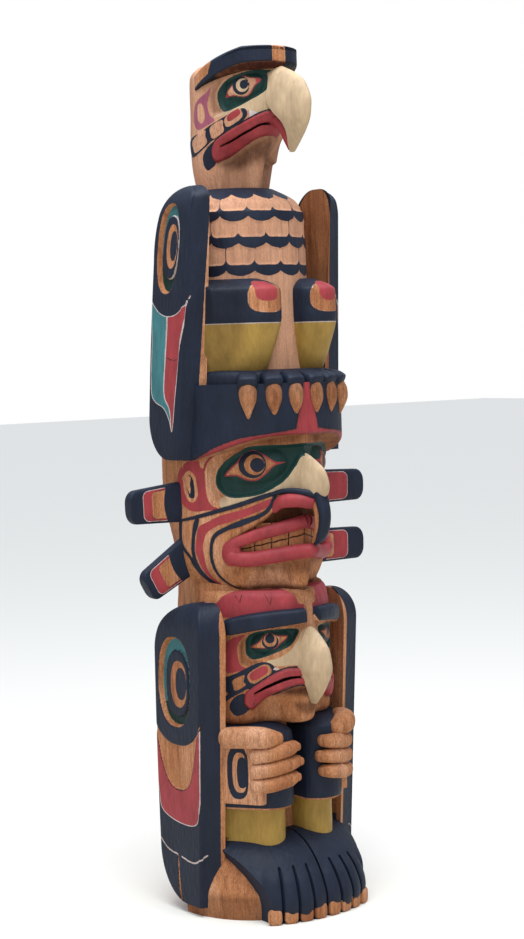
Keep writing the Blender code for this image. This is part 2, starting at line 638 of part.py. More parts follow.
def build():
    """The whole pole."""
    clear_scene()
    forms, cuts, raised, slots = (group(n) for n in ("forms", "recesses", "raised_forms", "ray_slots"))
    core(forms)
    wings(forms, cuts, raised)
    eagle_head(forms, cuts, raised)
    upper_legs(forms)
    upper_feet(forms)
    middle_face(forms, cuts, raised)
    lower_head(forms, cuts, raised)
    lower_legs(forms)
    lower_feet(forms)
    sawn_base(cuts)
    join_pole(forms, cuts, raised, slots, paint("painted cedar", (0.32, 0.16, 0.09), 0.6))
    ray_boards(slots, paint("painted boards", (0.03, 0.045, 0.09), 0.55))


build()
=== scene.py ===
"""Painted cedar totem pole: an eagle, a sun-like face with four ray boards, and
a seated bird figure, carved from one log.

Every carved form is a closed grid worked out with numpy. Metres, +Z up, the
figures face -Y, and left is the viewer's left (-X). Paint is kept as signed
inside distances in point attributes, so its edges stay sharp on any grid.
"""

import math

import bpy
import numpy as np
from bpy.props import FloatProperty, FloatVectorProperty, PointerProperty
from mathutils import Matrix, Vector


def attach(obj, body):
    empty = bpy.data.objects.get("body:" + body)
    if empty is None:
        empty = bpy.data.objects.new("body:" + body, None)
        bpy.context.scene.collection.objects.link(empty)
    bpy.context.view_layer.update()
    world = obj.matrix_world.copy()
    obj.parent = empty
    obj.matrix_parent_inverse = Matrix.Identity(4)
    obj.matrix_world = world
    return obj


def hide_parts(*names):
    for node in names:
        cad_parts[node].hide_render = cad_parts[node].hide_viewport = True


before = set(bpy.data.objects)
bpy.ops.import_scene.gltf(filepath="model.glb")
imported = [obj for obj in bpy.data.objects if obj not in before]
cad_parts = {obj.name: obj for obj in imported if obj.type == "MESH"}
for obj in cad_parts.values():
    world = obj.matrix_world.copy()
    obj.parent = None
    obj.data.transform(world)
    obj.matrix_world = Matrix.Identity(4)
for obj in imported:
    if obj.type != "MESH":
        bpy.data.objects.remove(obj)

bl_info = {
    "name": "Painted Totem Pole",
    "version": (1, 0, 0),
    "blender": (4, 5, 0),
    "location": "View3D > Sidebar > Totem",
    "description": "Carves and paints a cedar totem pole with three figures",
    "category": "Object",
}

# Distances to a paint's edge are kept up to FAR metres, and BLEED lets a paint run a little over its edge.
FAR = 0.02
BLEED = 0.0004
# The nine paints in the order they lie over one another, kept three by three in the attributes FACINGS.
INKS = ("pale", "cream", "gold", "rose", "teal", "green", "red", "navy", "dark")
FACINGS = ("ink_a", "ink_b", "ink_c")
# Edges sharper than these angles, in degrees, aren't smoothed.
CARVED_EDGE = 48.0
BOARD_EDGE = 40.0


# Curves and inside distances

def smooth(points, closed=False, steps=8):
    """A Catmull-Rom curve through the points, as samples with any number of coordinates."""
    p = np.asarray(points, float)
    if closed:
        p = np.vstack([p[-1], p, p[0], p[1]])
    else:
        p = np.vstack([2 * p[0] - p[1], p, 2 * p[-1] - p[-2]])
    t = np.linspace(0, 1, steps, endpoint=False)[None, :, None]
    a, b, c, d = p[:-3, None], p[1:-2, None], p[2:-1, None], p[3:, None]
    curve = 0.5 * (2 * b + (c - a) * t + (2 * a - 5 * b + 4 * c - d) * t ** 2
                   + (3 * b - a - 3 * c + d) * t ** 3)
    curve = curve.reshape(-1, p.shape[1])
    return curve if closed else np.vstack([curve, p[-2]])


def through(stations, at, steps=12):
    """Values at the places `at`, read off a smooth curve through a table whose first column is the place."""
    table = np.asarray(stations, float)
    order = np.argsort(table[:, 0])
    curve = smooth(table[order], steps=steps)
    place = np.maximum.accumulate(curve[:, 0])
    return [np.interp(at, place, curve[:, i]) for i in range(1, curve.shape[1])]


def ramp(value, low, high):
    """0 below low, 1 above high, and a smooth step between them."""
    t = np.clip((value - low) / (high - low), 0, 1)
    return t * t * (3 - 2 * t)


def path_distance(u, v, path, closed=False, half=None):
    """Least distance to the path's segments, less the open path's half-width where it is given."""
    start = path if closed else path[:-1]
    step = (np.roll(path, -1, 0) if closed else path[1:]) - start
    pu = u[:, None] - start[:, 0]
    pv = v[:, None] - start[:, 1]
    t = np.clip((pu * step[:, 0] + pv * step[:, 1]) / ((step ** 2).sum(1) + 1e-12), 0, 1)
    gap = np.hypot(pu - t * step[:, 0], pv - t * step[:, 1])
    if half is not None:
        gap = gap - (half[:-1] + (half[1:] - half[:-1]) * t)
    return gap.min(1)


def close_to(u, v, path):
    """Which points lie in the path's bounding box grown by FAR."""
    low, high = path.min(0) - FAR, path.max(0) + FAR
    return (u > low[0]) & (u < high[0]) & (v > low[1]) & (v < high[1])


def stroke(u, v, points, width):
    """Inside distance of a brush stroke along the points; width may change from point to point."""
    widths = np.broadcast_to(np.asarray(width, float), (len(points),))
    path = smooth(np.column_stack([np.asarray(points, float), widths]))
    inside = np.full(u.shape, -FAR)
    chosen = close_to(u, v, path[:, :2])
    if chosen.any():
        gap = path_distance(u[chosen], v[chosen], path[:, :2], False, path[:, 2] / 2)
        inside[chosen] = np.maximum(-gap, -FAR)
    return inside


def patch(u, v, points):
    """Inside distance of the smooth closed outline through the points."""
    return polygon(u, v, smooth(points, True))


def polygon(u, v, points):
    """Inside distance of the straight-sided closed outline.

    A point is inside where an odd number of sides lies to its right.
    """
    path = np.asarray(points, float)
    inside = np.full(u.shape, -FAR)
    chosen = close_to(u, v, path)
    if chosen.any():
        pu, pv = u[chosen], v[chosen]
        a, b = path, np.roll(path, -1, 0)
        rise = b[:, 1] - a[:, 1]
        rise = np.where(np.abs(rise) < 1e-12, 1e-12, rise)
        crossing = (a[:, 1] > pv[:, None]) != (b[:, 1] > pv[:, None])
        crossing &= pu[:, None] < (b[:, 0] - a[:, 0]) * (pv[:, None] - a[:, 1]) / rise + a[:, 0]
        odd = crossing.sum(1) % 2 == 1
        gap = path_distance(pu, pv, path, True)
        inside[chosen] = np.where(odd, gap, -np.minimum(gap, FAR))
    return inside


def oval(u, v, centre, size, bend=2.0, turn=0.0):
    """Inside distance, to first order, of a superellipse of half-sizes size, turned by turn degrees."""
    c, s = math.cos(math.radians(turn)), math.sin(math.radians(turn))
    du, dv = u - centre[0], v - centre[1]
    a, b = np.abs(du * c + dv * s) / size[0], np.abs(dv * c - du * s) / size[1]
    reach = (a ** bend + b ** bend) ** (1 / bend) + 1e-9
    slope_a = (a / reach) ** (bend - 1) / size[0]
    slope_b = (b / reach) ** (bend - 1) / size[1]
    return (1 - reach) / np.maximum(np.hypot(slope_a, slope_b), 1.0)


def corner(across, up, radius):
    """Inside distance of a rounded corner from the distances to its two sides."""
    cut = radius - np.hypot(np.maximum(radius - across, 0), np.maximum(radius - up, 0))
    return np.minimum(np.minimum(across, up), cut)


def band(value, low, high):
    """Inside distance of low < value < high."""
    return np.minimum(value - low, high - value)


def bent(value, power):
    """The value raised to the power with its sign kept."""
    return np.sign(value) * np.abs(value) ** power


class Paint:
    """Inside distance of each paint on one grid, in metres; None bares the wood.

    Paints later in INKS lie over earlier ones, so only those are cut away under a new shape.
    """

    def __init__(self, shape, ink=None):
        """Bare wood, or one ink all over."""
        self.field = {name: np.full(shape, FAR if name == ink else -FAR) for name in INKS}
        # How far each point is darkened: mostly painted shade, with some weathering.
        self.soil = np.zeros(shape)

    def put(self, ink, inside):
        """Lay ink where inside is positive.

        Its own field takes the larger distance, and every later paint is cut back to the negative.
        """
        level = INKS.index(ink) if ink else -1
        for number, field in enumerate(self.field.values()):
            if number == level:
                np.maximum(field, inside, out=field)
            elif number > level:
                np.minimum(field, -inside, out=field)

    def shade_and_stain(self, inside, depth=1.0, soft=0.012):
        """Painted shade in hollows, under overhangs and along edges, and some weathering, fading over the
        distance soft.
        """
        self.soil = np.maximum(self.soil, depth * ramp(inside, -soft, soft))


# Grids and meshes

class Shells:
    """Closed grids gathered into one mesh, each with its paint."""

    def __init__(self):
        """No grids yet."""
        self.points, self.quads, self.tris, self.inks, self.soil = [], [], [], [], []
        self.count = 0

    def add(self, grid, paint):
        """One grid of rows by columns, closed round its columns; no paint leaves it bare.

        Each end is capped by triangles to the middle of its row, and where the volume added up from
        the triangles is negative, all faces are turned round.
        """
        rows, columns = grid.shape[:2]
        flat = grid.reshape(-1, 3)
        ends = np.array([grid[0].mean(0), grid[-1].mean(0)])
        index = np.arange(rows * columns).reshape(rows, columns)
        after = np.roll(index, -1, 1)
        quads = np.stack([index[:-1], after[:-1], after[1:], index[1:]], -1).reshape(-1, 4)
        first, last = rows * columns, rows * columns + 1
        low = np.column_stack([after[0], index[0], np.full(columns, first)])
        high = np.column_stack([index[-1], after[-1], np.full(columns, last)])
        tris = np.vstack([low, high])
        points = np.vstack([flat, ends])
        corners = np.vstack([quads[:, :3], quads[:, [0, 2, 3]], tris])
        a, b, c = (points[corners[:, i]] for i in range(3))
        if np.einsum("ij,ij->i", a, np.cross(b, c)).sum() < 0:
            quads, tris = quads[:, ::-1], tris[:, ::-1]
        self.points.append(points)
        self.quads.append(quads + self.count)
        self.tris.append(tris + self.count)
        self.count += len(points)
        if paint is None:
            paint = Paint(grid.shape[:2])
        layers = np.stack([np.clip(paint.field[ink], -FAR, FAR) for ink in INKS], -1)
        ends = np.array([layers[0].mean(0), layers[-1].mean(0)])
        self.inks.append(np.vstack([layers.reshape(-1, len(INKS)), ends]))
        # Its painted shade and weathering, with a mean for each cap.
        ends = [paint.soil[0].mean(), paint.soil[-1].mean()]
        self.soil.append(np.concatenate([paint.soil.ravel(), ends]))

    def piece(self, name, wood, sharp=CARVED_EDGE):
        """The mesh object with its paint attributes and finish, riding on the pole."""
        points, quads, tris = np.vstack(self.points), np.vstack(self.quads), np.vstack(self.tris)
        mesh = bpy.data.meshes.new(name)
        mesh.vertices.add(len(points))
        mesh.vertices.foreach_set("co", points.astype(np.float32).ravel())
        mesh.loops.add(quads.size + tris.size)
        corners = np.concatenate([quads.ravel(), tris.ravel()])
        mesh.loops.foreach_set("vertex_index", corners.astype(np.int32))
        mesh.polygons.add(len(quads) + len(tris))
        starts = np.concatenate([np.arange(len(quads)) * 4, quads.size + np.arange(len(tris)) * 3])
        mesh.polygons.foreach_set("loop_start", starts.astype(np.int32))
        mesh.update(calc_edges=True)
        mesh.validate()
        layers = np.vstack(self.inks) + BLEED
        for number, facing in enumerate(FACINGS):
            attribute = mesh.attributes.new(facing, "FLOAT_VECTOR", "POINT")
            three = layers[:, number * 3:number * 3 + 3]
            attribute.data.foreach_set("vector", three.astype(np.float32).ravel())
        # The painted shade, with some weathering, goes into a point attribute that the finishes darken by.
        shade_and_dirt_cover = mesh.attributes.new("soil", "FLOAT", "POINT")
        shade_and_dirt_cover.data.foreach_set("value", np.concatenate(self.soil).astype(np.float32))
        mesh.shade_smooth()
        mesh.set_sharp_from_angle(angle=math.radians(sharp))
        mesh.materials.append(bpy.data.materials[wood])
        made = bpy.data.objects.new(name, mesh)
        bpy.context.scene.collection.objects.link(made)
        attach(made, "root")
        return made


def carve(name, parts, wood="painted cedar"):
    """One piece of the carved pole from pairs of a grid and its paint."""
    shells = Shells()
    for grid, paint in parts:
        shells.add(grid, paint)
    return shells.piece(name, wood)


def mirrored(grid):
    """The same grid on the other side."""
    return grid * np.array([-1.0, 1.0, 1.0])


def both(grid, paint):
    """The part as modelled and its mirror image, for one piece."""
    return [(grid, paint), (mirrored(grid), paint)]


def carve_pairs(pieces, wood="painted cedar"):
    """Every named piece as its mirror image on the left, then every one as modelled on the right."""
    for name, parts in pieces.items():
        carve(f"{name}_left", [(mirrored(grid), paint) for grid, paint in parts], wood)
    for name, parts in pieces.items():
        carve(f"{name}_right", parts, wood)


class Section:
    """A level outline walked by its arc length s from the front.

    It is a superellipse of the given power in front of its widest place and an ellipse behind it.
    """

    def __init__(self, half, front, power, back):
        """Arc lengths of 1500 places round each quarter, with their shares of half-width and depth."""
        turn = np.linspace(0, math.pi / 2, 1500)
        x = np.concatenate([half * np.sin(turn) ** (2 / power), half * np.cos(turn[1:])])
        depth = np.concatenate([-np.cos(turn) ** (2 / power), np.sin(turn[1:])])
        place = np.where(depth < 0, depth * front, depth * back)
        self.s = np.concatenate([[0], np.cumsum(np.hypot(np.diff(x), np.diff(place)))])
        self.x, self.depth, self.side, self.total = x / half, depth, self.s[len(turn) - 1], self.s[-1]

    def columns(self, fine, coarse):
        """Places round the outline, fine in front and coarse behind."""
        front = np.linspace(-self.side, self.side, int(2 * self.side / fine) + 1)
        back = np.linspace(self.side, self.total, int((self.total - self.side) / coarse) + 2)[1:]
        return np.concatenate([front, back, -back[-2::-1]])

    def grid(self, s, z, half, front, back, y, relief=0.0):
        """Rows at heights z; every level is the outline stretched to its own half-width and depths.

        relief moves each point out along the level outline's normal.
        """
        across = np.sign(s) * np.interp(np.abs(s), self.s, self.x)
        depth = np.interp(np.abs(s), self.s, self.depth)
        x = half * across
        place = y + np.where(depth < 0, depth * front, depth * back)
        x, place = np.broadcast_arrays(x, place)
        dx = np.roll(x, -1, 1) - np.roll(x, 1, 1)
        dy = np.roll(place, -1, 1) - np.roll(place, 1, 1)
        size = np.hypot(dx, dy) + 1e-9
        return np.stack([x + relief * dy / size, place - relief * dx / size,
                         np.broadcast_to(z, x.shape)], -1)


EAGLE = Section(0.118, 0.2, 1.5, 0.12)
MIDDLE = Section(0.235, 0.252, 1.3, 0.02)
LOWER = Section(0.205, 0.215, 1.5, 0.06)
LOWER_Y = -0.03


def front_outline(section, half, front, y, s):
    """x and y of the level outline's front part at arc length s."""
    reach = np.abs(s)
    return (np.sign(s) * half * np.interp(reach, section.s, section.x),
            y + front * np.interp(reach, section.s, section.depth))


def head_point(section, half, front, y, s, z, lift):
    """A point of a head at arc length s from the front, raised by lift.

    The direction of lift is square to the outline between two places 4 mm either side.
    """
    s = np.asarray(s, float)
    near = 0.004
    x, back = front_outline(section, half, front, y, s)
    ax, ay = front_outline(section, half, front, y, s - near)
    bx, by = front_outline(section, half, front, y, s + near)
    dx, dy = bx - ax, by - ay
    size = np.hypot(dx, dy)
    return np.stack([x + lift * dy / size, back - lift * dx / size, np.asarray(z, float)], -1)


def sweep(path, radii, columns=24, step=0.003, squash=1.0, up=(0, 0, 1), ends=0.9, bend=2.0):
    """A round-ended tube along a smooth path; squash flattens it along up and ends shortens its caps.

    Each ring is a superellipse of the local radius in the plane across the path. A cap's rings
    shrink as a quarter circle does, in cap_rows steps.
    """
    cap_rows = 8
    table = smooth(np.column_stack([path, np.broadcast_to(radii, (len(path),))]), steps=16)
    length = np.concatenate([[0], np.cumsum(np.linalg.norm(np.diff(table[:, :3], axis=0), axis=1))])
    count = max(6, int(length[-1] / step))
    cap = np.linspace(0, math.pi / 2, cap_rows)
    r0, r1 = table[0, 3] * ends, table[-1, 3] * ends
    at = np.concatenate([-r0 * np.cos(cap)[:-1], np.linspace(0, length[-1], count),
                         length[-1] + r1 * np.sin(cap)[1:]])
    shrink = np.concatenate([np.sin(cap)[:-1], np.ones(count), np.cos(cap)[1:]])
    shrink = np.maximum(shrink, 0.02)
    inner = np.clip(at, 0, length[-1])
    spot = np.column_stack([np.interp(inner, length, table[:, i]) for i in range(3)])
    radius = np.interp(inner, length, table[:, 3]) * shrink
    even = np.linspace(0, length[-1], count)
    ahead = np.gradient(np.column_stack([np.interp(even, length, table[:, i]) for i in range(3)]), axis=0)
    ahead = np.vstack([np.repeat(ahead[:1], cap_rows - 1, 0), ahead,
                       np.repeat(ahead[-1:], cap_rows - 1, 0)])
    ahead /= np.linalg.norm(ahead, axis=1, keepdims=True)
    spot = spot + ahead * (at - inner)[:, None]
    across = np.cross(ahead, np.asarray(up, float))
    across /= np.linalg.norm(across, axis=1, keepdims=True)
    rise = np.cross(across, ahead)
    turn = np.linspace(0, 2 * math.pi, columns, endpoint=False)
    c, s = bent(np.cos(turn), 2 / bend), bent(np.sin(turn), 2 / bend)
    return spot[:, None] + radius[:, None, None] * (
        across[:, None] * c[None, :, None] + rise[:, None] * s[None, :, None] * squash)


def arch(path, radii, **more):
    """One swept form across the centre line from its right half, given end first."""
    path = np.asarray(path, float)
    whole = np.vstack([path * (-1, 1, 1), path[::-1]])
    return sweep(whole, np.concatenate([radii, radii[::-1]]), **more)


def ball(centre, size, turn, rows, columns, square=1.0):
    """A superellipsoid of half-sizes size, turned about Z; square below 1 fills out its corners."""
    rise = np.linspace(-math.pi / 2 + 0.04, math.pi / 2 - 0.04, rows)[:, None]
    around = np.linspace(0, 2 * math.pi, columns, endpoint=False)[None]
    level = bent(np.cos(rise), square)
    x = size[0] * level * bent(np.cos(around), square)
    y = size[1] * level * bent(np.sin(around), square)
    z = size[2] * bent(np.sin(rise), square) + 0 * around
    c, s = math.cos(math.radians(turn)), math.sin(math.radians(turn))
    return np.stack([x * c - y * s, x * s + y * c, z], -1) + np.asarray(centre, float)


def adze(u, v, width, length, depth):
    """Depth of the scallops left by a curved blade, in rows staggered by half a stroke.

    Each is a shallow bowl: four times the square of the share across plus three times that along.
    """
    row = np.floor(v / length)
    across = (u / width + 0.5 * np.mod(row, 2)) % 1.0 - 0.5
    along = (v / length) % 1.0 - 0.5
    return np.abs(depth * (4 * across ** 2 + 3 * along ** 2 - 0.6))


def sizes(*names):
    """The carving sizes of those names, rounded back to the micrometre from single precision."""
    carving = bpy.context.scene.totem_carving
    return [round(getattr(carving, name), 6) for name in names]


# Materials

def linear(code):
    """A colour code in the display's space as linear values with alpha."""
    parts = [int(code[i:i + 2], 16) / 255 for i in (0, 2, 4)]
    return tuple(p / 12.92 if p <= 0.04045 else ((p + 0.055) / 1.055) ** 2.4 for p in parts) + (1.0,)


def new_group(name, inputs, outputs):
    """An empty node group with the given sockets."""
    tree = bpy.data.node_groups.new(name, "ShaderNodeTree")
    for title, kind, value in inputs:
        made = tree.interface.new_socket(title, in_out="INPUT", socket_type=kind)
        made.default_value = value
    for title, kind in outputs:
        tree.interface.new_socket(title, in_out="OUTPUT", socket_type=kind)
    return tree, tree.nodes.new("NodeGroupInput"), tree.nodes.new("NodeGroupOutput")


def node(tree, kind, **settings):
    """A node with its settings; `values` gives its inputs a value each, or a socket to link."""
    made = tree.nodes.new(kind)
    values = settings.pop("values", {})
    for key, value in settings.items():
        setattr(made, key, value)
    for key, value in values.items():
        if isinstance(value, bpy.types.NodeSocket):
            tree.links.new(value, made.inputs[key])
        else:
            made.inputs[key].default_value = value
    return made


def object_place(tree):
    """The place on the object, which is the same in every piece."""
    return tree.nodes.new("ShaderNodeTexCoord").outputs["Object"]


def noise(tree, coords, scale, stretch, detail=4.0, rough=0.55):
    """Noise stretched along the log."""
    mapping = node(tree, "ShaderNodeMapping", values={"Vector": coords, "Scale": stretch})
    values = {"Vector": mapping.outputs[0], "Scale": scale, "Detail": detail, "Roughness": rough}
    return node(tree, "ShaderNodeTexNoise", values=values).outputs["Fac"]


def colour_ramp(tree, value, stops):
    """A colour ramp through the given (place, colour) stops."""
    made = node(tree, "ShaderNodeValToRGB", values={"Fac": value})
    bar = made.color_ramp
    while len(bar.elements) < len(stops):
        bar.elements.new(0.5)
    for element, (place, colour) in zip(bar.elements, stops):
        element.position, element.color = place, colour
    return made.outputs["Color"]


def map_range(tree, value, low, high, to_low=0.0, to_high=1.0, kind="SMOOTHSTEP"):
    """A clamped range mapping."""
    values = {"Value": value, "From Min": low, "From Max": high, "To Min": to_low, "To Max": to_high}
    return node(tree, "ShaderNodeMapRange", interpolation_type=kind, values=values).outputs["Result"]


def maths(tree, operation, a, b):
    """One arithmetic node; a and b are sockets or numbers."""
    return node(tree, "ShaderNodeMath", operation=operation, values={0: a, 1: b}).outputs[0]


def mix(tree, factor, a, b, blend="MIX"):
    """A colour mix; a and b are sockets or colours."""
    made = node(tree, "ShaderNodeMix", data_type="RGBA", blend_type=blend,
                values={0: factor, 6: a, 7: b})
    return made.outputs[2]


def cedar_group():
    """Bare cedar: broad bands of three tones, multiplied by grain streaks, fibres and specks."""
    paints = bpy.context.scene.totem_paints
    tree, _, out = new_group("cedar wood", (), (("Color", "NodeSocketColor"),
                                                ("Height", "NodeSocketFloat")))
    coords = object_place(tree)
    broad = noise(tree, coords, 5.0, (1.6, 1.6, 0.45), 3.0)
    grain = noise(tree, coords, 60.0, (1.4, 1.4, 0.07), 5.0, 0.65)
    fibre = noise(tree, coords, 260.0, (1.2, 1.2, 0.05), 3.0, 0.6)
    tone = colour_ramp(tree, broad, (
        (0.3, tuple(paints.heartwood)), (0.5, tuple(paints.cedar)), (0.72, tuple(paints.sapwood))))
    streak = colour_ramp(tree, grain, (
        (0.33, linear("8f6a50")), (0.5, linear("ece2d8")), (0.7, linear("ffffff"))))
    colour = mix(tree, 0.55, tone, streak, "MULTIPLY")
    hair = map_range(tree, fibre, 0.35, 0.65, 0.82, 1.06)
    colour = mix(tree, 1.0, colour, hair, "MULTIPLY")
    speck = map_range(tree, noise(tree, coords, 330.0, (1.0, 1.0, 0.45), 2.0, 0.5), 0.35, 0.68, 0.84, 1.16)
    colour = mix(tree, 1.0, colour, speck, "MULTIPLY")
    tree.links.new(colour, out.inputs["Color"])
    height = maths(tree, "ADD", maths(tree, "MULTIPLY", grain, 0.6), maths(tree, "MULTIPLY", fibre, 0.4))
    tree.links.new(height, out.inputs["Height"])
    return tree


def blade_group():
    """Marks of a small curved knife: overlapping soft cells drawn out along the cut."""
    tree, given, out = new_group("blade marks", (("Scale", "NodeSocketFloat", 110.0),),
                                 (("Height", "NodeSocketFloat"),))
    values = {"Vector": object_place(tree), "Scale": (1.0, 1.0, 0.42)}
    mapping = node(tree, "ShaderNodeMapping", values=values)
    values = {"Vector": mapping.outputs[0], "Scale": given.outputs["Scale"], "Smoothness": 0.35}
    cells = node(tree, "ShaderNodeTexVoronoi", feature="SMOOTH_F1", values=values)
    tree.links.new(cells.outputs["Distance"], out.inputs["Height"])
    return tree


def edge_group():
    """A brushed paint edge: an inside distance turned into a cover, a little uneven."""
    tree, given, out = new_group("paint edge", (("Distance", "NodeSocketFloat", 0.0),),
                                 (("Cover", "NodeSocketFloat"),))
    waver = noise(tree, object_place(tree), 95.0, (1.0, 1.0, 1.0), 3.0)
    shift = map_range(tree, waver, 0.25, 0.75, -0.0006, 0.0006, "LINEAR")
    value = maths(tree, "ADD", given.outputs["Distance"], shift)
    tree.links.new(map_range(tree, value, 0.0, 0.0008), out.inputs["Cover"])
    return tree


def grouped(tree, title, **values):
    """A node that uses the node group of that title, with its input values."""
    return node(tree, "ShaderNodeGroup", node_tree=bpy.data.node_groups[title], values=values)


def painted_material(name, marks=84.0, depth=0.8, bleach=0.0):
    """Matt paint laid over cedar wherever a paint's inside distance is positive.

    marks is the fineness of the knife marks, depth their strength and bleach the share of weathered
    wood. Each paint is mixed over those before it by its cover, painted shade with some weathering
    darkens the colour below it, and paint is a little smoother than wood.
    """
    paints = bpy.context.scene.totem_paints
    made = bpy.data.materials.new(name)
    made.use_nodes = True
    tree = made.node_tree
    shader = tree.nodes["Principled BSDF"]
    wood = grouped(tree, "cedar wood")
    colour, cover = mix(tree, bleach, wood.outputs["Color"], tuple(paints.bleached)), None
    coords = object_place(tree)
    blotch = noise(tree, coords, 22.0, (1.0, 1.0, 0.5), 4.0)
    shade = map_range(tree, blotch, 0.3, 0.7, 0.8, 1.18, "LINEAR")
    streaks = noise(tree, coords, 150.0, (1.0, 1.0, 0.22), 3.0)
    shade = maths(tree, "MULTIPLY", shade, map_range(tree, streaks, 0.34, 0.7, 0.94, 1.09, "LINEAR"))
    for number, facing in enumerate(FACINGS):
        layer = node(tree, "ShaderNodeAttribute", attribute_name=facing)
        split = node(tree, "ShaderNodeSeparateXYZ", values={0: layer.outputs["Vector"]})
        for axis in range(3):
            edge = grouped(tree, "paint edge", Distance=split.outputs[axis])
            paint = tuple(getattr(paints, INKS[number * 3 + axis]))
            here = edge.outputs["Cover"]
            colour = mix(tree, here, colour, mix(tree, 1.0, paint, shade, "MULTIPLY"))
            cover = here if cover is None else maths(tree, "MAXIMUM", cover, here)
    # Painted shade in hollows, under overhangs and along edges, with some weathering, darkens the colour
    # patchily.
    shade_and_dirt_cover = node(tree, "ShaderNodeAttribute", attribute_name="soil").outputs["Fac"]
    cloud = noise(tree, coords, 34.0, (1.0, 1.0, 0.6), 5.0)
    shade_and_dirt_cover = maths(tree, "MULTIPLY", shade_and_dirt_cover, map_range(tree, cloud, 0.3, 0.6, 0.8, 1.0))
    colour = mix(tree, shade_and_dirt_cover, colour, mix(tree, 1.0, colour, tuple(paints.shade_and_grime), "MULTIPLY"))
    tree.links.new(colour, shader.inputs["Base Color"])
    shader.inputs["Specular IOR Level"].default_value = 0.2
    tree.links.new(map_range(tree, cover, 0.0, 1.0, 0.82, 0.55, "LINEAR"), shader.inputs["Roughness"])
    blades = grouped(tree, "blade marks", Scale=marks)
    values = {"Height": blades.outputs["Height"], "Strength": depth, "Distance": 0.0012}
    bump = node(tree, "ShaderNodeBump", values=values)
    values = {"Height": wood.outputs["Height"], "Normal": bump.outputs[0], "Strength": 0.35,
              "Distance": 0.0006}
    fine = node(tree, "ShaderNodeBump", values=values)
    tree.links.new(fine.outputs[0], shader.inputs["Normal"])
    return made


def make_materials():
    """The node groups and the four finishes."""
    cedar_group()
    blade_group()
    edge_group()
    painted_material("painted cedar")
    painted_material("weathered cedar", 84.0, 0.8, 0.27)
    painted_material("adzed cedar", 48.0, 0.9)
    painted_material("painted board", 90.0, 0.35)


# The log behind the figures

def log_core():
    """The log itself: waist, flanks and back up to the eagle's feet, and a slimmer length above.

    Each level is a round outline stretched to the half-width and depths tabled for its height,
    with adze scallops cut into it.
    """
    strokes = sizes("adze_width", "adze_length", "adze_depth")
    levels = ((0.0, 0.206, 0.243, 0.232), (0.035, 0.208, 0.245, 0.234), (0.065, 0.21, 0.24, 0.234),
              (0.105, 0.21, 0.19, 0.234), (0.15, 0.212, 0.14, 0.233), (0.23, 0.212, 0.105, 0.232),
              (0.5, 0.212, 0.105, 0.228), (0.56, 0.212, 0.15, 0.228), (0.78, 0.2, 0.16, 0.218),
              (0.85, 0.196, 0.14, 0.212), (0.93, 0.197, 0.11, 0.212), (1.04, 0.222, 0.1, 0.226),
              (1.11, 0.234, 0.1, 0.234), (1.24, 0.234, 0.105, 0.234), (1.3, 0.225, 0.15, 0.23),
              (1.4, 0.213, 0.17, 0.226))
    z = np.concatenate([[0.0], np.linspace(0.0005, 1.4, 120)])[:, None]
    half, front, back = through(levels, z)
    round_log = Section(0.22, 0.18, 2.0, 0.228)
    s = round_log.columns(0.0105, 0.0105)[None, :-1]
    cuts = adze(s, z, *strokes) * ramp(z, 0.004, 0.03)
    lower = round_log.grid(s, z, half, front, back, 0.0, -cuts)
    z = np.concatenate([np.linspace(1.398, 1.86, 46), [1.872, 1.88, 1.884]])[:, None]
    half, back = through(
        ((1.39, 0.212, 0.225), (1.78, 0.208, 0.212), (1.86, 0.196, 0.196), (1.876, 0.182, 0.182),
        (1.884, 0.16, 0.16)), z)
    cuts = adze(s, z, *strokes)
    upper = round_log.grid(s, z, half, 0.03, back, 0.0, -cuts)
    carve("log_core", [(lower, None), (upper, None)], "adzed cedar")


def chest():
    """The eagle's chest: rows of overlapping feathers with navy edges and sunk bare middles.

    A feather's lower edge is an arc of height rise over its width. Rows are laid from the bottom
    up, each as its lower edge, the foot of its bare middle and the side its feathers start from.
    """
    barrel = Section(0.165, 0.165, 2.0, 0.165)
    s = np.linspace(-barrel.total, barrel.total, 236)[None, :-1]
    z = np.concatenate([np.linspace(1.402, 1.89, 122), np.linspace(1.894, 1.91, 6)])[:, None]
    paint = Paint((z.shape[0], s.shape[1]))
    width, rise = sizes("feather_width", "feather_rise")
    seam, rounding = 0.0022, 0.014
    rows = ((1.676, 1.705, -0.152), (1.748, 1.777, -0.1185), (1.817, 1.845, -0.165), (1.877, None, -0.128))
    front = 0.262 - np.abs(s) + 0 * z
    for low, bare, start in rows:
        u = np.mod(s - start, width) - width / 2
        arc = np.sqrt(np.maximum(1 - (2 * u / width) ** 2, 0))
        edge = low + rise * (1 - arc) ** 0.8
        cover = np.minimum((z - edge) * 0.8, front)
        paint.put("navy", cover)
        if bare is not None:
            middle = corner(width / 2 - seam / 2 - np.abs(u), z - bare, rounding)
            paint.put(None, np.minimum(np.minimum(middle, cover), bare + 0.075 - z))
    back, front_depth, y = through(
        ((1.39, 0.171, 0.171, 0.0), (1.8, 0.166, 0.166, 0.0), (1.85, 0.16, 0.16, 0.003),
        (1.875, 0.149, 0.149, 0.008), (1.892, 0.13, 0.13, 0.016), (1.91, 0.1, 0.1, 0.024)), z)
    relief = -0.002 * ramp(-paint.field["navy"], 0.0, 0.003) * ramp(z, 1.66, 1.7)
    grid = barrel.grid(s, z, back, front_depth, back, y, relief)
    carve("eagle_chest", [(grid, paint)], "weathered cedar")


# Wings

# The navy laps this far round the front rim, and q is above SEAT_Q on the face let into the log.
NAVY_LAP = 0.052
SEAT_Q = 0.9


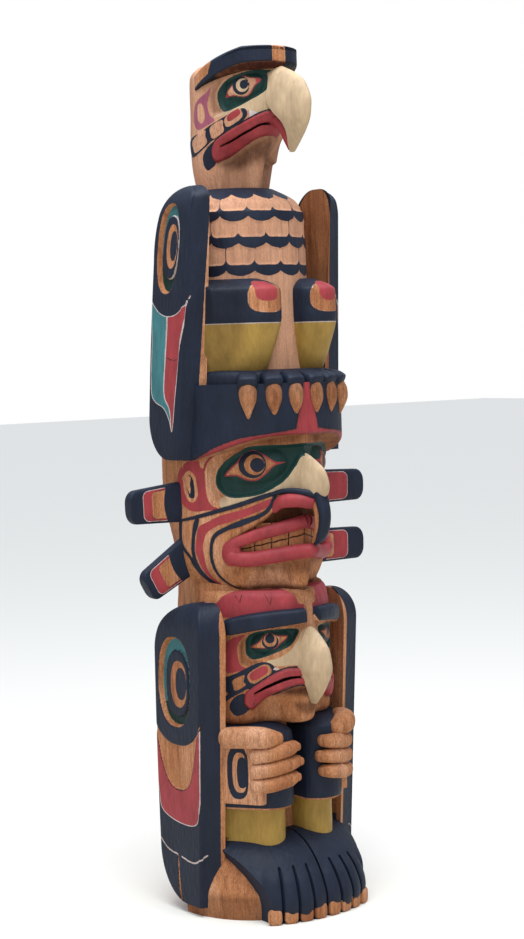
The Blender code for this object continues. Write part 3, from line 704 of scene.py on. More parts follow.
class Wing:
    """An upright wing panel with its outline on the outer face, lofted in level rounded rectangles."""

    def __init__(self, front, back, low, high, top_round, bottom_round, brow, inner, outer):
        """front and back are y at the top and bottom, inner and outer x at the bottom and top.

        top_round, bottom_round and brow are how far the back's top, its bottom and the front's top
        are rounded over.
        """
        (self.front_top, self.front_bottom), (self.back_top, self.back_bottom) = front, back
        self.low, self.high, self.brow = low, high, brow
        self.top_round, self.bottom_round = top_round, bottom_round
        self.inner, self.outer = inner, outer

    def edges(self, z):
        """Front and back edges, and inner and outer faces, at each height.

        Each runs straight between its two ends, and the roundings are quarter ellipses.
        """
        crest, top_in = self.front_top + 0.05, 0.075
        shoulder = self.high - self.brow
        t = np.clip((z - self.low) / (shoulder - self.low), 0, 1)
        front = self.front_bottom + (self.front_top - self.front_bottom) * t
        lift = np.clip((z - shoulder) / self.brow, 0, 1)
        front = np.where(z > shoulder, self.front_top + 0.05 * (1 - np.sqrt(1 - lift ** 2)), front)
        foot, neck = self.low + self.bottom_round, self.high - self.top_round
        t = np.clip((z - foot) / (neck - foot), 0, 1)
        back = self.back_bottom + (self.back_top - self.back_bottom) * t + 0.003 * np.sin(math.pi * t)
        c = np.clip(1 - (self.high - z) / self.top_round, 0, 1)
        back = np.where(z > neck, crest + (self.back_top - crest) * np.sqrt(1 - c ** 2), back)
        c = np.clip(1 - (z - self.low) / self.bottom_round, 0, 1)
        cut = self.bottom_round * 0.8 * (1 - np.sqrt(1 - c ** 2))
        back = np.where(z < foot, self.back_bottom - cut, back)
        t = (z - self.low) / (self.high - self.low)
        outer = self.outer[0] + (self.outer[1] - self.outer[0]) * t
        above = np.clip((z - self.high + top_in) / top_in, 0, 1)
        outer = outer - 0.6 * top_in * (1 - np.sqrt(1 - above ** 2))
        inner = self.inner[0] + (self.inner[1] - self.inner[0]) * t
        return front, back, np.minimum(inner, outer - 0.004), outer

    def rows(self, step):
        """Heights, closer together where the top and the bottom round over."""
        count = int((self.high - self.low - 0.02) / step)
        near = 0.01 * (1 - np.cos(np.linspace(0.12, math.pi / 2, 9)[:-1]))
        middle = np.linspace(self.low + 0.01, self.high - 0.01, count)
        return np.concatenate([self.low + near, middle, self.high - near[::-1]])[:, None]

    def shape(self, step, decorate):
        """The grid and its paint; decorate(q, z, paint, front) paints and returns how deep it is cut.

        q runs across the outer face as y does and on round the front and back rims.
        """
        z = self.rows(step)
        front, back, inner, outer = self.edges(z)
        bevel = np.minimum(0.009, (back - front) * 0.3)
        slope = 0.022 * ramp(z, self.low - 0.1, self.low + 0.1)
        face = np.linspace(0, 1, int(0.225 / step))[None]
        turn = np.linspace(0, math.pi / 2, 6)[None]
        deep = np.linspace(0, 1, 8)[None]
        inner_front = front - slope
        rim_x = inner + (outer - bevel - inner) * deep
        rim_y = inner_front + (front - inner_front) * deep + 0 * z
        rim_q = front - (outer - rim_x)
        arc_x = outer - bevel * (1 - np.sin(turn))
        arc_y = front + bevel * (1 - np.cos(turn))
        arc_q = front + bevel * turn * 0.6 - bevel * 0.3
        face_y = front + bevel + (back - front - 2 * bevel) * face
        back_y = back - bevel * (1 - np.sin(turn))
        back_x = outer - bevel * (1 - np.cos(turn))
        tail_x = (outer - bevel) + (inner - outer + bevel) * deep
        tail_q = back + (outer - tail_x)
        seat_y = back + (inner_front - back) * face[:, ::9]
        parts = ((rim_x, rim_y, rim_q), (arc_x[:, 1:], arc_y[:, 1:], arc_q[:, 1:]),
                 (outer + 0 * face[:, 1:], face_y[:, 1:], face_y[:, 1:]),
                 (back_x[:, 1:], back_y[:, 1:], back_y[:, 1:]),
                 (tail_x[:, 1:], back + 0 * deep[:, 1:], tail_q[:, 1:]),
                 (inner + 0 * seat_y[:, 1:-1], seat_y[:, 1:-1], 1.0 + 0 * seat_y[:, 1:-1]))
        x, y, q = (np.concatenate([np.broadcast_to(p[i], (len(z), p[i].shape[1])) for p in parts], 1)
                   for i in range(3))
        paint = Paint(x.shape)
        level = z + 0 * x
        sunk = decorate(q, level, paint, front)
        on_face = (q > front + 0.001) & (q < back - 0.001)
        return np.stack([x - sunk * on_face, y, level], -1), paint


def upper_wing_paint(q, z, paint, front):
    """Navy feather with a sunk ovoid, over a teal and a red strip that run down to the tip."""
    paint.put("navy", np.minimum(q - (front - NAVY_LAP), SEAT_Q - q))
    teal = patch(q, z, (
        (0.052, 1.64), (0.057, 1.5), (0.06, 1.39), (0.044, 1.358), (0.003, 1.34), (-0.02, 1.312),
        (-0.032, 1.284), (-0.021, 1.336), (0.003, 1.376), (-0.001, 1.468), (-0.008, 1.56),
        (-0.006, 1.64)))
    red = patch(q, z, (
        (-0.106, 1.65), (-0.086, 1.585), (-0.062, 1.458), (-0.048, 1.373), (-0.034, 1.28),
        (-0.024, 1.336), (0.001, 1.378), (-0.005, 1.468), (-0.013, 1.56), (-0.012, 1.65)))
    for ink, shape in (("teal", teal), ("red", red)):
        paint.put("pale", shape + 0.0018)
        paint.put(ink, shape - 0.0008)
    paint.put("dark", stroke(q, z, ((-0.014, 1.47), (-0.034, 1.464), (-0.058, 1.464)), 0.0035))
    end = oval(q, z, (-0.02, 1.752), (0.11, 0.174), 2.2)
    paint.put("pale", np.minimum(end + 0.0022, 1.62 - z))
    paint.put("navy", end)
    well = oval(q, z, (-0.016, 1.752), (0.048, 0.117), 2.3, 8)
    raised = oval(q, z, (-0.021, 1.755), (0.034, 0.082), 2.3, 8)
    paint.put(None, well)
    # The well's floor is painted lighter teal in its upper part as lit and dark green in its lower part as
    # shaded.
    paint.put("green", np.minimum(well - 0.006, 1.74 - z))
    paint.put("teal", np.minimum(well - 0.006, z - 1.74))
    paint.put("pale", raised + 0.0008)
    paint.put("navy", raised - 0.0016)
    paint.put(None, oval(q, z, (-0.028, 1.757), (0.0235, 0.057), 2.2, 8))
    paint.put("navy", oval(q, z, (-0.035, 1.758), (0.015, 0.039), 2.2, 8))
    return 0.014 * ramp(well, 0.0, 0.006) - 0.01 * ramp(raised, -0.003, 0.003)


def lower_wing_paint(q, z, paint, front):
    """Navy wing: sunk ovoid ringed in painted lit teal and shaded green, over a bare adzed tongue in a red
    loop.
    """
    paint.put("navy", np.minimum(q - (front - NAVY_LAP), SEAT_Q - q))
    red = patch(q, z, (
        (0.112, 0.54), (0.113, 0.434), (0.105, 0.367), (0.094, 0.315), (0.084, 0.268), (0.029, 0.246),
        (-0.047, 0.242), (-0.08, 0.262), (-0.093, 0.325), (-0.109, 0.437), (-0.12, 0.53)))
    edge = q - front - 0.004
    paint.put("pale", np.minimum(red + 0.002, edge + 0.002))
    paint.put("red", np.minimum(red - 0.0006, edge))
    tongue = patch(q, z, (
        (0.094, 0.52), (0.088, 0.442), (0.06, 0.365), (0.024, 0.334), (-0.026, 0.336),
        (-0.056, 0.371), (-0.083, 0.468), (-0.094, 0.53)))
    paint.put("dark", tongue + 0.003)
    paint.put(None, tongue)
    end = oval(q, z, (0.003, 0.622), (0.127, 0.172), 2.4)
    paint.put("navy", end)
    for line in (((0.103, 0.19), (0.065, 0.162), (0.019, 0.153)),
                 ((0.002, 0.15), (-0.053, 0.143), (-0.106, 0.168))):
        paint.put("pale", stroke(q, z, line, 0.0045))
    check = stroke(q, z, ((0.019, 0.15), (0.017, 0.081), (0.012, 0.034)), (0.002, 0.006, 0.008))
    paint.put(None, check)
    well = oval(q, z, (0.005, 0.618), (0.072, 0.12), 2.4, 3)
    raised = oval(q, z, (0.0, 0.614), (0.052, 0.088), 2.4, 3)
    paint.put(None, well)
    # The well's floor is painted lighter teal in its upper part as lit and dark green in its lower part as
    # shaded.
    paint.put("green", np.minimum(well - 0.006, 0.56 - z))
    paint.put("teal", np.minimum(well - 0.006, z - 0.56))
    paint.put("dark", raised + 0.0025)
    paint.put("navy", raised)
    paint.put(None, oval(q, z, (-0.008, 0.613), (0.036, 0.062), 2.3, 3))
    paint.put("navy", oval(q, z, (-0.018, 0.615), (0.024, 0.043), 2.3, 3))
    return (0.015 * ramp(well, 0.0, 0.006) - 0.009 * ramp(raised, -0.003, 0.003)
            + 0.004 * ramp(tongue, -0.001, 0.003) * ramp(-end, -0.001, 0.002)
            + 0.006 * ramp(check, 0.0, 0.002))


UPPER_WING = Wing(
    (-0.108, -0.05), (0.056, 0.076), 1.205, 1.912, 0.19, 0.11, 0.035, (0.196, 0.2), (0.277, 0.248))
LOWER_WING = Wing(
    (-0.12, -0.078), (0.096, 0.104), 0.026, 0.831, 0.14, 0.14, 0.085, (0.196, 0.2), (0.258, 0.268))


def wings():
    """Both pairs of wings, on grids of about 3.7 mm."""
    for name, form, decorate in (("upper_wing", UPPER_WING, upper_wing_paint),
                                 ("lower_wing", LOWER_WING, lower_wing_paint)):
        carve_pairs({name: [form.shape(0.0037, decorate)]})


# The eagle's head

def eagle_levels(z):
    """Half-width, front and back depths and the place they meet, at each height of the skull."""
    return through(
        ((1.893, 0.098, 0.098, 0.098, 0.028), (1.96, 0.111, 0.112, 0.11, 0.028),
        (2.01, 0.116, 0.135, 0.115, 0.026), (2.06, 0.118, 0.172, 0.118, 0.023),
        (2.11, 0.118, 0.198, 0.119, 0.02), (2.19, 0.118, 0.199, 0.119, 0.02),
        (2.216, 0.114, 0.19, 0.112, 0.02), (2.232, 0.1, 0.17, 0.092, 0.018)), z)


def eye_paint(u, v, paint, lens, iris, radii, crescent, width, lean=(-0.35, 0.1)):
    """An almond eye: red outline, bare white, navy ring, a crescent and the pupil.

    radii run from the ring inwards; lean says how far the pupil is set off, in ring radii.
    """
    lens_in = patch(u, v, lens)
    paint.put("red", lens_in)
    paint.put(None, lens_in - width)
    ring, pale, pupil = radii
    paint.put("navy", oval(u, v, iris, (ring, ring)))
    for ink, radius, share in ((crescent, pale, 0.45), ("navy", pupil, 1.0)):
        place = [at + ring * share * part for at, part in zip(iris, lean)]
        paint.put(ink, oval(u, v, place, (radius, radius)))


def eagle_skull():
    """Neck, cheeks and eye sockets of the eagle, with the cheek feathers painted on.

    u is the distance round from the centre line and v the height. The relief adds up sunk
    sockets, swelling eyes, raised lips and hollows, each a smooth step over its inside distance.
    """
    s = np.linspace(-EAGLE.total, EAGLE.total, 305)[None, :-1]
    z = np.concatenate([np.linspace(1.893, 2.216, 122), np.linspace(2.219, 2.232, 5)])[:, None]
    half, front, back, y = eagle_levels(z)
    u, v = np.broadcast_arrays(np.abs(s), z)
    paint = Paint(u.shape)
    socket = patch(u, v, (
        (0.144, 2.187), (0.1, 2.201), (0.063, 2.206), (0.014, 2.204), (-0.02, 2.204), (-0.02, 2.186),
        (0.02, 2.183), (0.029, 2.165), (0.044, 2.148), (0.077, 2.131), (0.117, 2.114), (0.154, 2.105),
        (0.17, 2.12), (0.176, 2.144), (0.17, 2.164)))
    crescent = patch(u, v, (
        (0.204, 2.158), (0.186, 2.176), (0.16, 2.19), (0.172, 2.162), (0.176, 2.144), (0.17, 2.12),
        (0.154, 2.104), (0.176, 2.098), (0.195, 2.099), (0.204, 2.116), (0.207, 2.138)))
    paint.put("cream", patch(u, v, (
        (0.19, 2.093), (0.154, 2.107), (0.117, 2.116), (0.077, 2.133), (0.044, 2.15), (0.029, 2.167),
        (0.02, 2.186), (-0.02, 2.19), (-0.02, 2.09), (0.05, 2.094), (0.1, 2.108), (0.14, 2.098))))
    paint.put("green", socket)
    lens = ((0.157, 2.143), (0.126, 2.174), (0.1, 2.193), (0.076, 2.188), (0.05, 2.182), (0.067, 2.164),
            (0.082, 2.144), (0.101, 2.138), (0.127, 2.143))
    eye_paint(u, v, paint, lens, (0.104, 2.168), (0.0235, 0.0175, 0.0118), "cream", 0.0024)
    for end in ((0.157, 2.143), (0.05, 2.182)):
        paint.put("red", np.minimum(patch(u, v, lens), oval(u, v, end, (0.015, 0.015))))
    loop = ((0.196, 2.172), (0.212, 2.16), (0.244, 2.144), (0.264, 2.126), (0.269, 2.094), (0.255, 2.072),
            (0.238, 2.066), (0.212, 2.073), (0.184, 2.085), (0.199, 2.099), (0.209, 2.122), (0.205, 2.146))
    paint.put("rose", patch(u, v, loop))
    paint.put(None, patch(u, v, (
        (0.246, 2.128), (0.232, 2.134), (0.221, 2.116), (0.219, 2.092), (0.231, 2.082),
        (0.247, 2.096))))
    strip = patch(u, v, (
        (0.31, 2.042), (0.233, 2.06), (0.198, 2.074), (0.155, 2.092), (0.128, 2.105), (0.098, 2.11),
        (0.086, 2.096), (0.093, 2.08), (0.116, 2.062), (0.146, 2.048), (0.185, 2.034), (0.209, 2.02),
        (0.257, 2.001), (0.288, 2.0), (0.306, 2.018)))
    paint.put("navy", strip)
    for cell in (((0.276, 2.04), (0.217, 2.063), (0.211, 2.048), (0.205, 2.028), (0.256, 2.008),
                  (0.272, 2.02)),
                 ((0.194, 2.07), (0.16, 2.085), (0.152, 2.07), (0.148, 2.054), (0.179, 2.039),
                  (0.192, 2.052))):
        paint.put(None, patch(u, v, cell))
    for line in range(5):
        for start, drop in ((0.262 - 0.009 * line, 2.026 + 0.004 * line),
                            (0.188 - 0.007 * line, 2.055 + 0.0034 * line)):
            paint.put("red", stroke(u, v, ((start, drop - 0.011), (start - 0.004, drop + 0.012)), 0.0017))
    paint.put(None, oval(u, v, (0.1245, 2.088), (0.0265, 0.0165), 3.0, -30))
    paint.put("red", oval(u, v, (0.125, 2.0945), (0.02, 0.0105), 3.0, -30))
    paint.put("pale", polygon(u, v, ((0.083, 2.106), (0.055, 2.096), (0.078, 2.084))))
    paint.put("navy", patch(u, v, (
        (0.219, 1.972), (0.223, 1.991), (0.216, 2.006), (0.19, 2.026), (0.172, 2.03), (0.16, 2.0),
        (0.164, 1.974), (0.188, 1.962), (0.204, 1.96))))
    lips = patch(u, v, (
        (0.148, 1.979), (0.16, 1.978), (0.176, 1.99), (0.181, 2.01), (0.174, 2.029), (0.156, 2.043),
        (0.104, 2.069), (0.055, 2.093), (0.024, 2.101), (-0.02, 2.101), (-0.02, 2.04), (0.005, 2.04),
        (0.033, 2.034), (0.069, 2.013), (0.106, 1.995)))
    paint.put("navy", np.minimum(lips + 0.0042, v - 2.02 - 0.25 * (0.16 - u)))
    paint.put("red", lips)
    mouth = stroke(u, v, (
        (0.147, 2.018), (0.105, 2.0335), (0.068, 2.052), (0.036, 2.0675), (0.0, 2.068)),
        (0.003, 0.006, 0.007, 0.006, 0.005))
    paint.put("dark", mouth)
    paint.put(None, np.minimum(band(s, 0.028, 0.2), 2.05 - z))
    paint.put("dark", stroke(u, v, ((0.147, 2.016), (0.15, 2.004)), 0.0018))
    # Painted shadow under the beak and lips on the sunk throat, with some weathering of the wood.
    paint.shade_and_stain(patch(u, v, (
        (0.143, 1.972), (0.106, 1.993), (0.057, 2.018), (0.0, 2.04), (-0.03, 2.03), (-0.01, 1.99),
        (0.05, 1.965), (0.09, 1.96))), 0.75, 0.016)
    # Painted shade in the sunk crescent and along the edges of the raised lips.
    paint.shade_and_stain(crescent - 0.004, 0.5, 0.012)
    paint.shade_and_stain(0.003 - np.abs(lips), 0.5, 0.004)
    eye = oval(u, v, (0.1, 2.166), (0.056, 0.034), 2.0, -14)
    relief = -0.01 * ramp(socket, 0.0, 0.008) + 0.013 * np.sqrt(ramp(eye, -0.002, 0.024))
    relief = relief + 0.0015 * ramp(strip, -0.001, 0.002) - 0.004 * ramp(crescent, -0.002, 0.01)
    relief = relief + 0.009 * ramp(lips, -0.001, 0.006) - 0.014 * ramp(mouth, -0.001, 0.003)
    throat = ramp(u, 0.01, 0.07) * ramp(0.165 - u, 0.0, 0.06) * ramp(2.045 - v, 0.0, 0.06)
    relief = relief - 0.026 * throat
    carve("eagle_skull", [(EAGLE.grid(s, z, half, front, back, y, relief), paint)], "weathered cedar")


def eagle_brow():
    """The overhanging brow: a cap that rises to the front, navy with bare marks.

    Its top and bottom rise with the share forward, its side bulges by a quarter sine below and
    above, and rings shrinking to one point close its crown.
    """
    half, front, middle_y, behind = 0.119, 0.203, 0.018, 0.045
    cap = Section(half, front, 2.2, behind)
    s = cap.columns(0.0032, 0.006)[None, :-1]
    across = np.sign(s) * np.interp(np.abs(s), cap.s, cap.x) * half
    place = np.interp(np.abs(s), cap.s, cap.depth)
    y = middle_y + np.where(place < 0, place * front, place * behind)
    forward = np.clip((0.02 - y) / 0.15, 0, 1) ** 0.7
    top = 2.214 + (2.266 - 2.214) * forward
    bottom = 2.168 + 0.04 * forward
    lower = np.linspace(0, math.pi / 2, 9)[:, None]
    edge = 0.004 + np.interp(np.abs(s), (0.0, 0.03, 0.08, 0.14, 0.2, 0.24),
                             (0.014, 0.016, 0.015, 0.011, 0.004, 0.0))
    grow = np.concatenate([-0.012 + 0.018 * np.sin(lower), np.full(
        (8, 1), 0.006), 0.006 - 0.012 * (1 - np.cos(lower))])
    middle = np.linspace(0, 1, 10)[1:-1, None]
    level = np.concatenate([bottom + edge * (1 - np.cos(lower)),
                            bottom + edge + (top - bottom - 0.019) * middle,
                            top - 0.012 * (1 - np.sin(lower))])
    x, yy = across + 0 * level, y + 0 * level
    dx, dy = np.gradient(x, axis=1), np.gradient(yy, axis=1)
    size = np.hypot(dx, dy) + 1e-9
    side = np.stack([x + grow * dy / size, yy - grow * dx / size, level], -1)
    crown = side[-1]
    centre = np.array([0.0, -0.06, 0.0])
    rings = [side]
    for share in (0.9, 0.75, 0.58, 0.4, 0.22, 0.08):
        ring = centre + (crown - centre) * share
        ring[:, 2] = crown[:, 2] * share + 2.262 * (1 - share)
        rings.append(ring[None])
    grid = np.concatenate(rings)
    paint = Paint(grid.shape[:2])
    u, v = np.broadcast_arrays(np.abs(s), grid[..., 2])
    under = bottom + edge
    paint.put("navy", np.minimum(0.292 - u, v - under + 0.004 + 0.02 * ramp(u, 0.24, 0.26)))
    paint.put(None, patch(u, v, (
        (0.205, 2.24), (0.211, 2.212), (0.224, 2.188), (0.244, 2.175), (0.27, 2.172), (0.3, 2.178),
        (0.31, 2.25), (0.26, 2.26))))
    hook = bottom + np.interp(u, (0.19, 0.24, 0.292), (0.022, 0.013, 0.005)) - v
    paint.put("navy", np.minimum(band(u, 0.19, 0.29), hook))
    paint.put(None, band(np.sign(s) * u, -0.028, 0.01))
    paint.put("navy", np.minimum(band(np.sign(s) * u, 0.01, 0.07), v - bottom - 0.003))
    # Painted shade on the brow's underside.
    paint.shade_and_stain(under - 0.002 - v, 1.0, 0.003)
    carve("eagle_brow", [(grid, paint)])


def beak(name, stations):
    """A cream beak in 70 level rings, rounded in front and square behind.

    Each station is its height, half-width, front edge and depth, and the rings lie evenly along
    the front edge. The first ones close in over 12 mm as a quarter circle does.
    """
    power = 2 / 1.7 * 0.9
    table = smooth(np.asarray(stations, float), steps=10)
    length = np.concatenate([[0], np.cumsum(np.hypot(np.diff(table[:, 0]), np.diff(table[:, 2])))])
    at = np.linspace(0, length[-1], 70)
    z, half, front, depth = (np.interp(at, length, table[:, i])[:, None] for i in range(4))
    close = np.sqrt(1 - np.clip(1 - at / 0.012, 0, 1) ** 2)[:, None] * 0.5 + 0.5
    turn = np.linspace(-math.pi / 2, math.pi / 2, 56)[None]
    x = half * close * bent(np.sin(turn), power)
    y = front + depth * (1 - np.cos(turn) ** power)
    ring = np.stack([x, y, z + 0 * x], -1)
    back = ring[:, ::-8].copy()
    back[..., 1] = front + depth + 0.002
    grid = np.concatenate([ring, back], 1)
    carve(name, [(grid, Paint(grid.shape[:2], "cream"))])


def eagle_beak():
    """The eagle's hooked upper beak."""
    beak("eagle_beak", (
        (2.212, 0.016, -0.19, 0.06), (2.19, 0.025, -0.24, 0.08), (2.164, 0.032, -0.276, 0.11),
        (2.124, 0.038, -0.297, 0.13), (2.092, 0.036, -0.296, 0.105), (2.068, 0.03, -0.29, 0.075),
        (2.04, 0.021, -0.274, 0.05), (2.01, 0.012, -0.25, 0.03), (1.99, 0.005, -0.232, 0.013)))


def palate(name, path, radii):
    """The red inner side of a beak, from the lips down to its tip."""
    grid = sweep(path, radii, 36, 0.003, 1.0, (1, 0, 0))
    carve(name, [(grid, Paint(grid.shape[:2], "red"))])


def eagle_palate():
    """The red inner side of the eagle's beak."""
    palate("eagle_palate", (
        (0.0, -0.14, 2.082), (0.0, -0.172, 2.074), (0.0, -0.194, 2.052), (0.0, -0.207, 2.022),
        (0.0, -0.213, 2.0)), (0.02, 0.0185, 0.016, 0.012, 0.006))


# The eagle's legs

def leg_grid(levels):
    """Level sections of a right leg: round in front with a flank running back to the wing.

    Each level is its height, the x and y of its centre and its radius. Returns the grid, the arc
    length from the foremost point (outwards positive) and the heights.
    """
    reach, step, flank = 0.205, 0.0035, math.radians(53)
    table = smooth(np.asarray(levels, float), steps=10)
    rise = np.concatenate([[0], np.cumsum(np.hypot(np.diff(table[:, 0]), np.diff(table[:, 3])))])
    at = np.linspace(0, rise[-1], int(rise[-1] / step) + 2)
    z, cx, cy, r = (np.interp(at, rise, table[:, i])[:, None] for i in range(4))
    turn = np.radians(np.linspace(-70, 53, 42))[None]
    arc_x, arc_y = cx + r * np.sin(turn), cy - r * np.cos(turn)
    run = np.linspace(0, 1, 14)[None, 1:]
    edge_x, edge_y = arc_x[:, -1:], arc_y[:, -1:]
    flank_x = edge_x + (reach - edge_x) * run
    flank_y = np.minimum(edge_y + (reach - edge_x) * math.tan(flank) * run, 0.05)
    flat_x = np.concatenate([reach + 0 * cx, (reach + cx) / 2, cx - r * 0.9], 1)
    flat_y = np.full_like(flat_x, 0.06)
    inner_x = np.concatenate([cx - r * 0.92, cx - r * 0.935], 1)
    inner_y = np.concatenate([0 * cx, cy * 0.5], 1)
    x = np.concatenate([arc_x, flank_x, flat_x, inner_x], 1)
    y = np.concatenate([arc_y, flank_y, flat_y, inner_y], 1)
    s = np.concatenate([r * turn, r * flank + (reach - edge_x) / math.cos(flank) * run,
                        np.full_like(flat_x, 0.3), np.full_like(inner_x, -0.09)], 1)
    return np.stack([x, y, z + 0 * x], -1), s, z + 0 * x


def upper_legs():
    """The eagle's legs: navy knees with a bare patch and red spot, over golden shanks."""
    grid, s, z = leg_grid(
        ((1.42, 0.094, -0.143, 0.038), (1.45, 0.0935, -0.15, 0.044), (1.48, 0.093, -0.158, 0.05),
        (1.553, 0.092, -0.176, 0.06), (1.6, 0.091, -0.177, 0.0605), (1.636, 0.091, -0.176, 0.06),
        (1.648, 0.091, -0.17, 0.055), (1.66, 0.091, -0.155, 0.042), (1.669, 0.091, -0.135, 0.026)))
    paint = Paint(s.shape)
    paint.put("gold", 1.553 - z)
    paint.put("pale", band(z, 1.5515, 1.5545))
    paint.put("navy", z - 1.5545)
    spot = oval(s, z, (0.009, 1.617), (0.0555, 0.036), 2.8)
    paint.put("pale", spot + 0.0012)
    paint.put(None, spot)
    paint.put("red", oval(s, z, (0.0115, 1.635), (0.0335, 0.026), 2.8))
    # Darker towards the foot, and painted shade on the flank where the leg turns back towards the wing.
    paint.shade_and_stain(1.445 - z, 0.6, 0.03)
    paint.shade_and_stain(s - 0.075, 0.45, 0.03)
    carve_pairs({"upper_leg": [(grid, paint)]})


def upper_feet():
    """Both of the eagle's feet in one slab, with three square navy toes and brown talons each.

    A toe runs straight out from the log's axis, and its talon hooks down in front of it.
    """
    slab = Section(0.212, 0.232, 2.3, 0.02)
    s = slab.columns(0.004, 0.01)[None, :-1]
    turn = np.linspace(0.05, math.pi - 0.05, 26)[:, None]
    z = 1.4 - 0.033 * np.cos(turn)
    bulge = np.sin(turn) ** 0.5
    grid = slab.grid(s, z, 0.188 + 0.022 * bulge, 0.19 + 0.03 * bulge, 0.02, 0.0)
    feet, claws = [(grid, Paint(grid.shape[:2], "navy"))], []
    for x, y in ((0.033, -0.247), (0.092, -0.233), (0.152, -0.204)):
        ahead = np.array([x, y]) / math.hypot(x, y)
        path = [(x - ahead[0] * back, y - ahead[1] * back, z) for back, z in
                ((0.1, 1.402), (0.06, 1.404), (0.03, 1.4035), (0.01, 1.4), (0.0, 1.394))]
        toe = sweep(path, (0.0275, 0.0275, 0.0278, 0.0275, 0.0265), 40, 0.003, 0.92, (0, 0, 1), 0.34, 3.6)
        hook = [(x * out, y * out, z) for out, z in
                ((0.975, 1.386), (0.992, 1.372), (1.008, 1.352), (1.004, 1.328), (0.985, 1.305))]
        claw = sweep(hook, (0.022, 0.0235, 0.02, 0.0105, 0.0018), 32, 0.0025, 1.0, (0, 1, 0), 0.7)
        horn = Paint(claw.shape[:2])
        # Darker towards the top of the talon.
        horn.shade_and_stain(claw[..., 2] - 1.352, 0.45, 0.03)
        feet += both(toe, Paint(toe.shape[:2], "navy"))
        claws += both(claw, horn)
    carve("upper_feet", feet)
    carve("talons", claws)


# The middle face

def middle_half(z):
    """Half-width and depth of the middle face, whose jaw narrows as a quarter ellipse of height jaw."""
    chin, jaw = 0.852, 0.125
    drop = np.clip((chin + jaw - z) / jaw, 0, 1)
    depth = np.interp(z, (0.853, 0.903, 0.95, 1.01), (0.223, 0.236, 0.246, 0.252))
    return 0.145 + 0.092 * np.sqrt(1 - drop ** 2), depth


def middle_point(s, z, lift):
    """A point of the middle face at arc length s and height z, raised by lift."""
    half, front = middle_half(np.asarray(z, float))
    return head_point(MIDDLE, half, front, 0.0, s, z, lift)


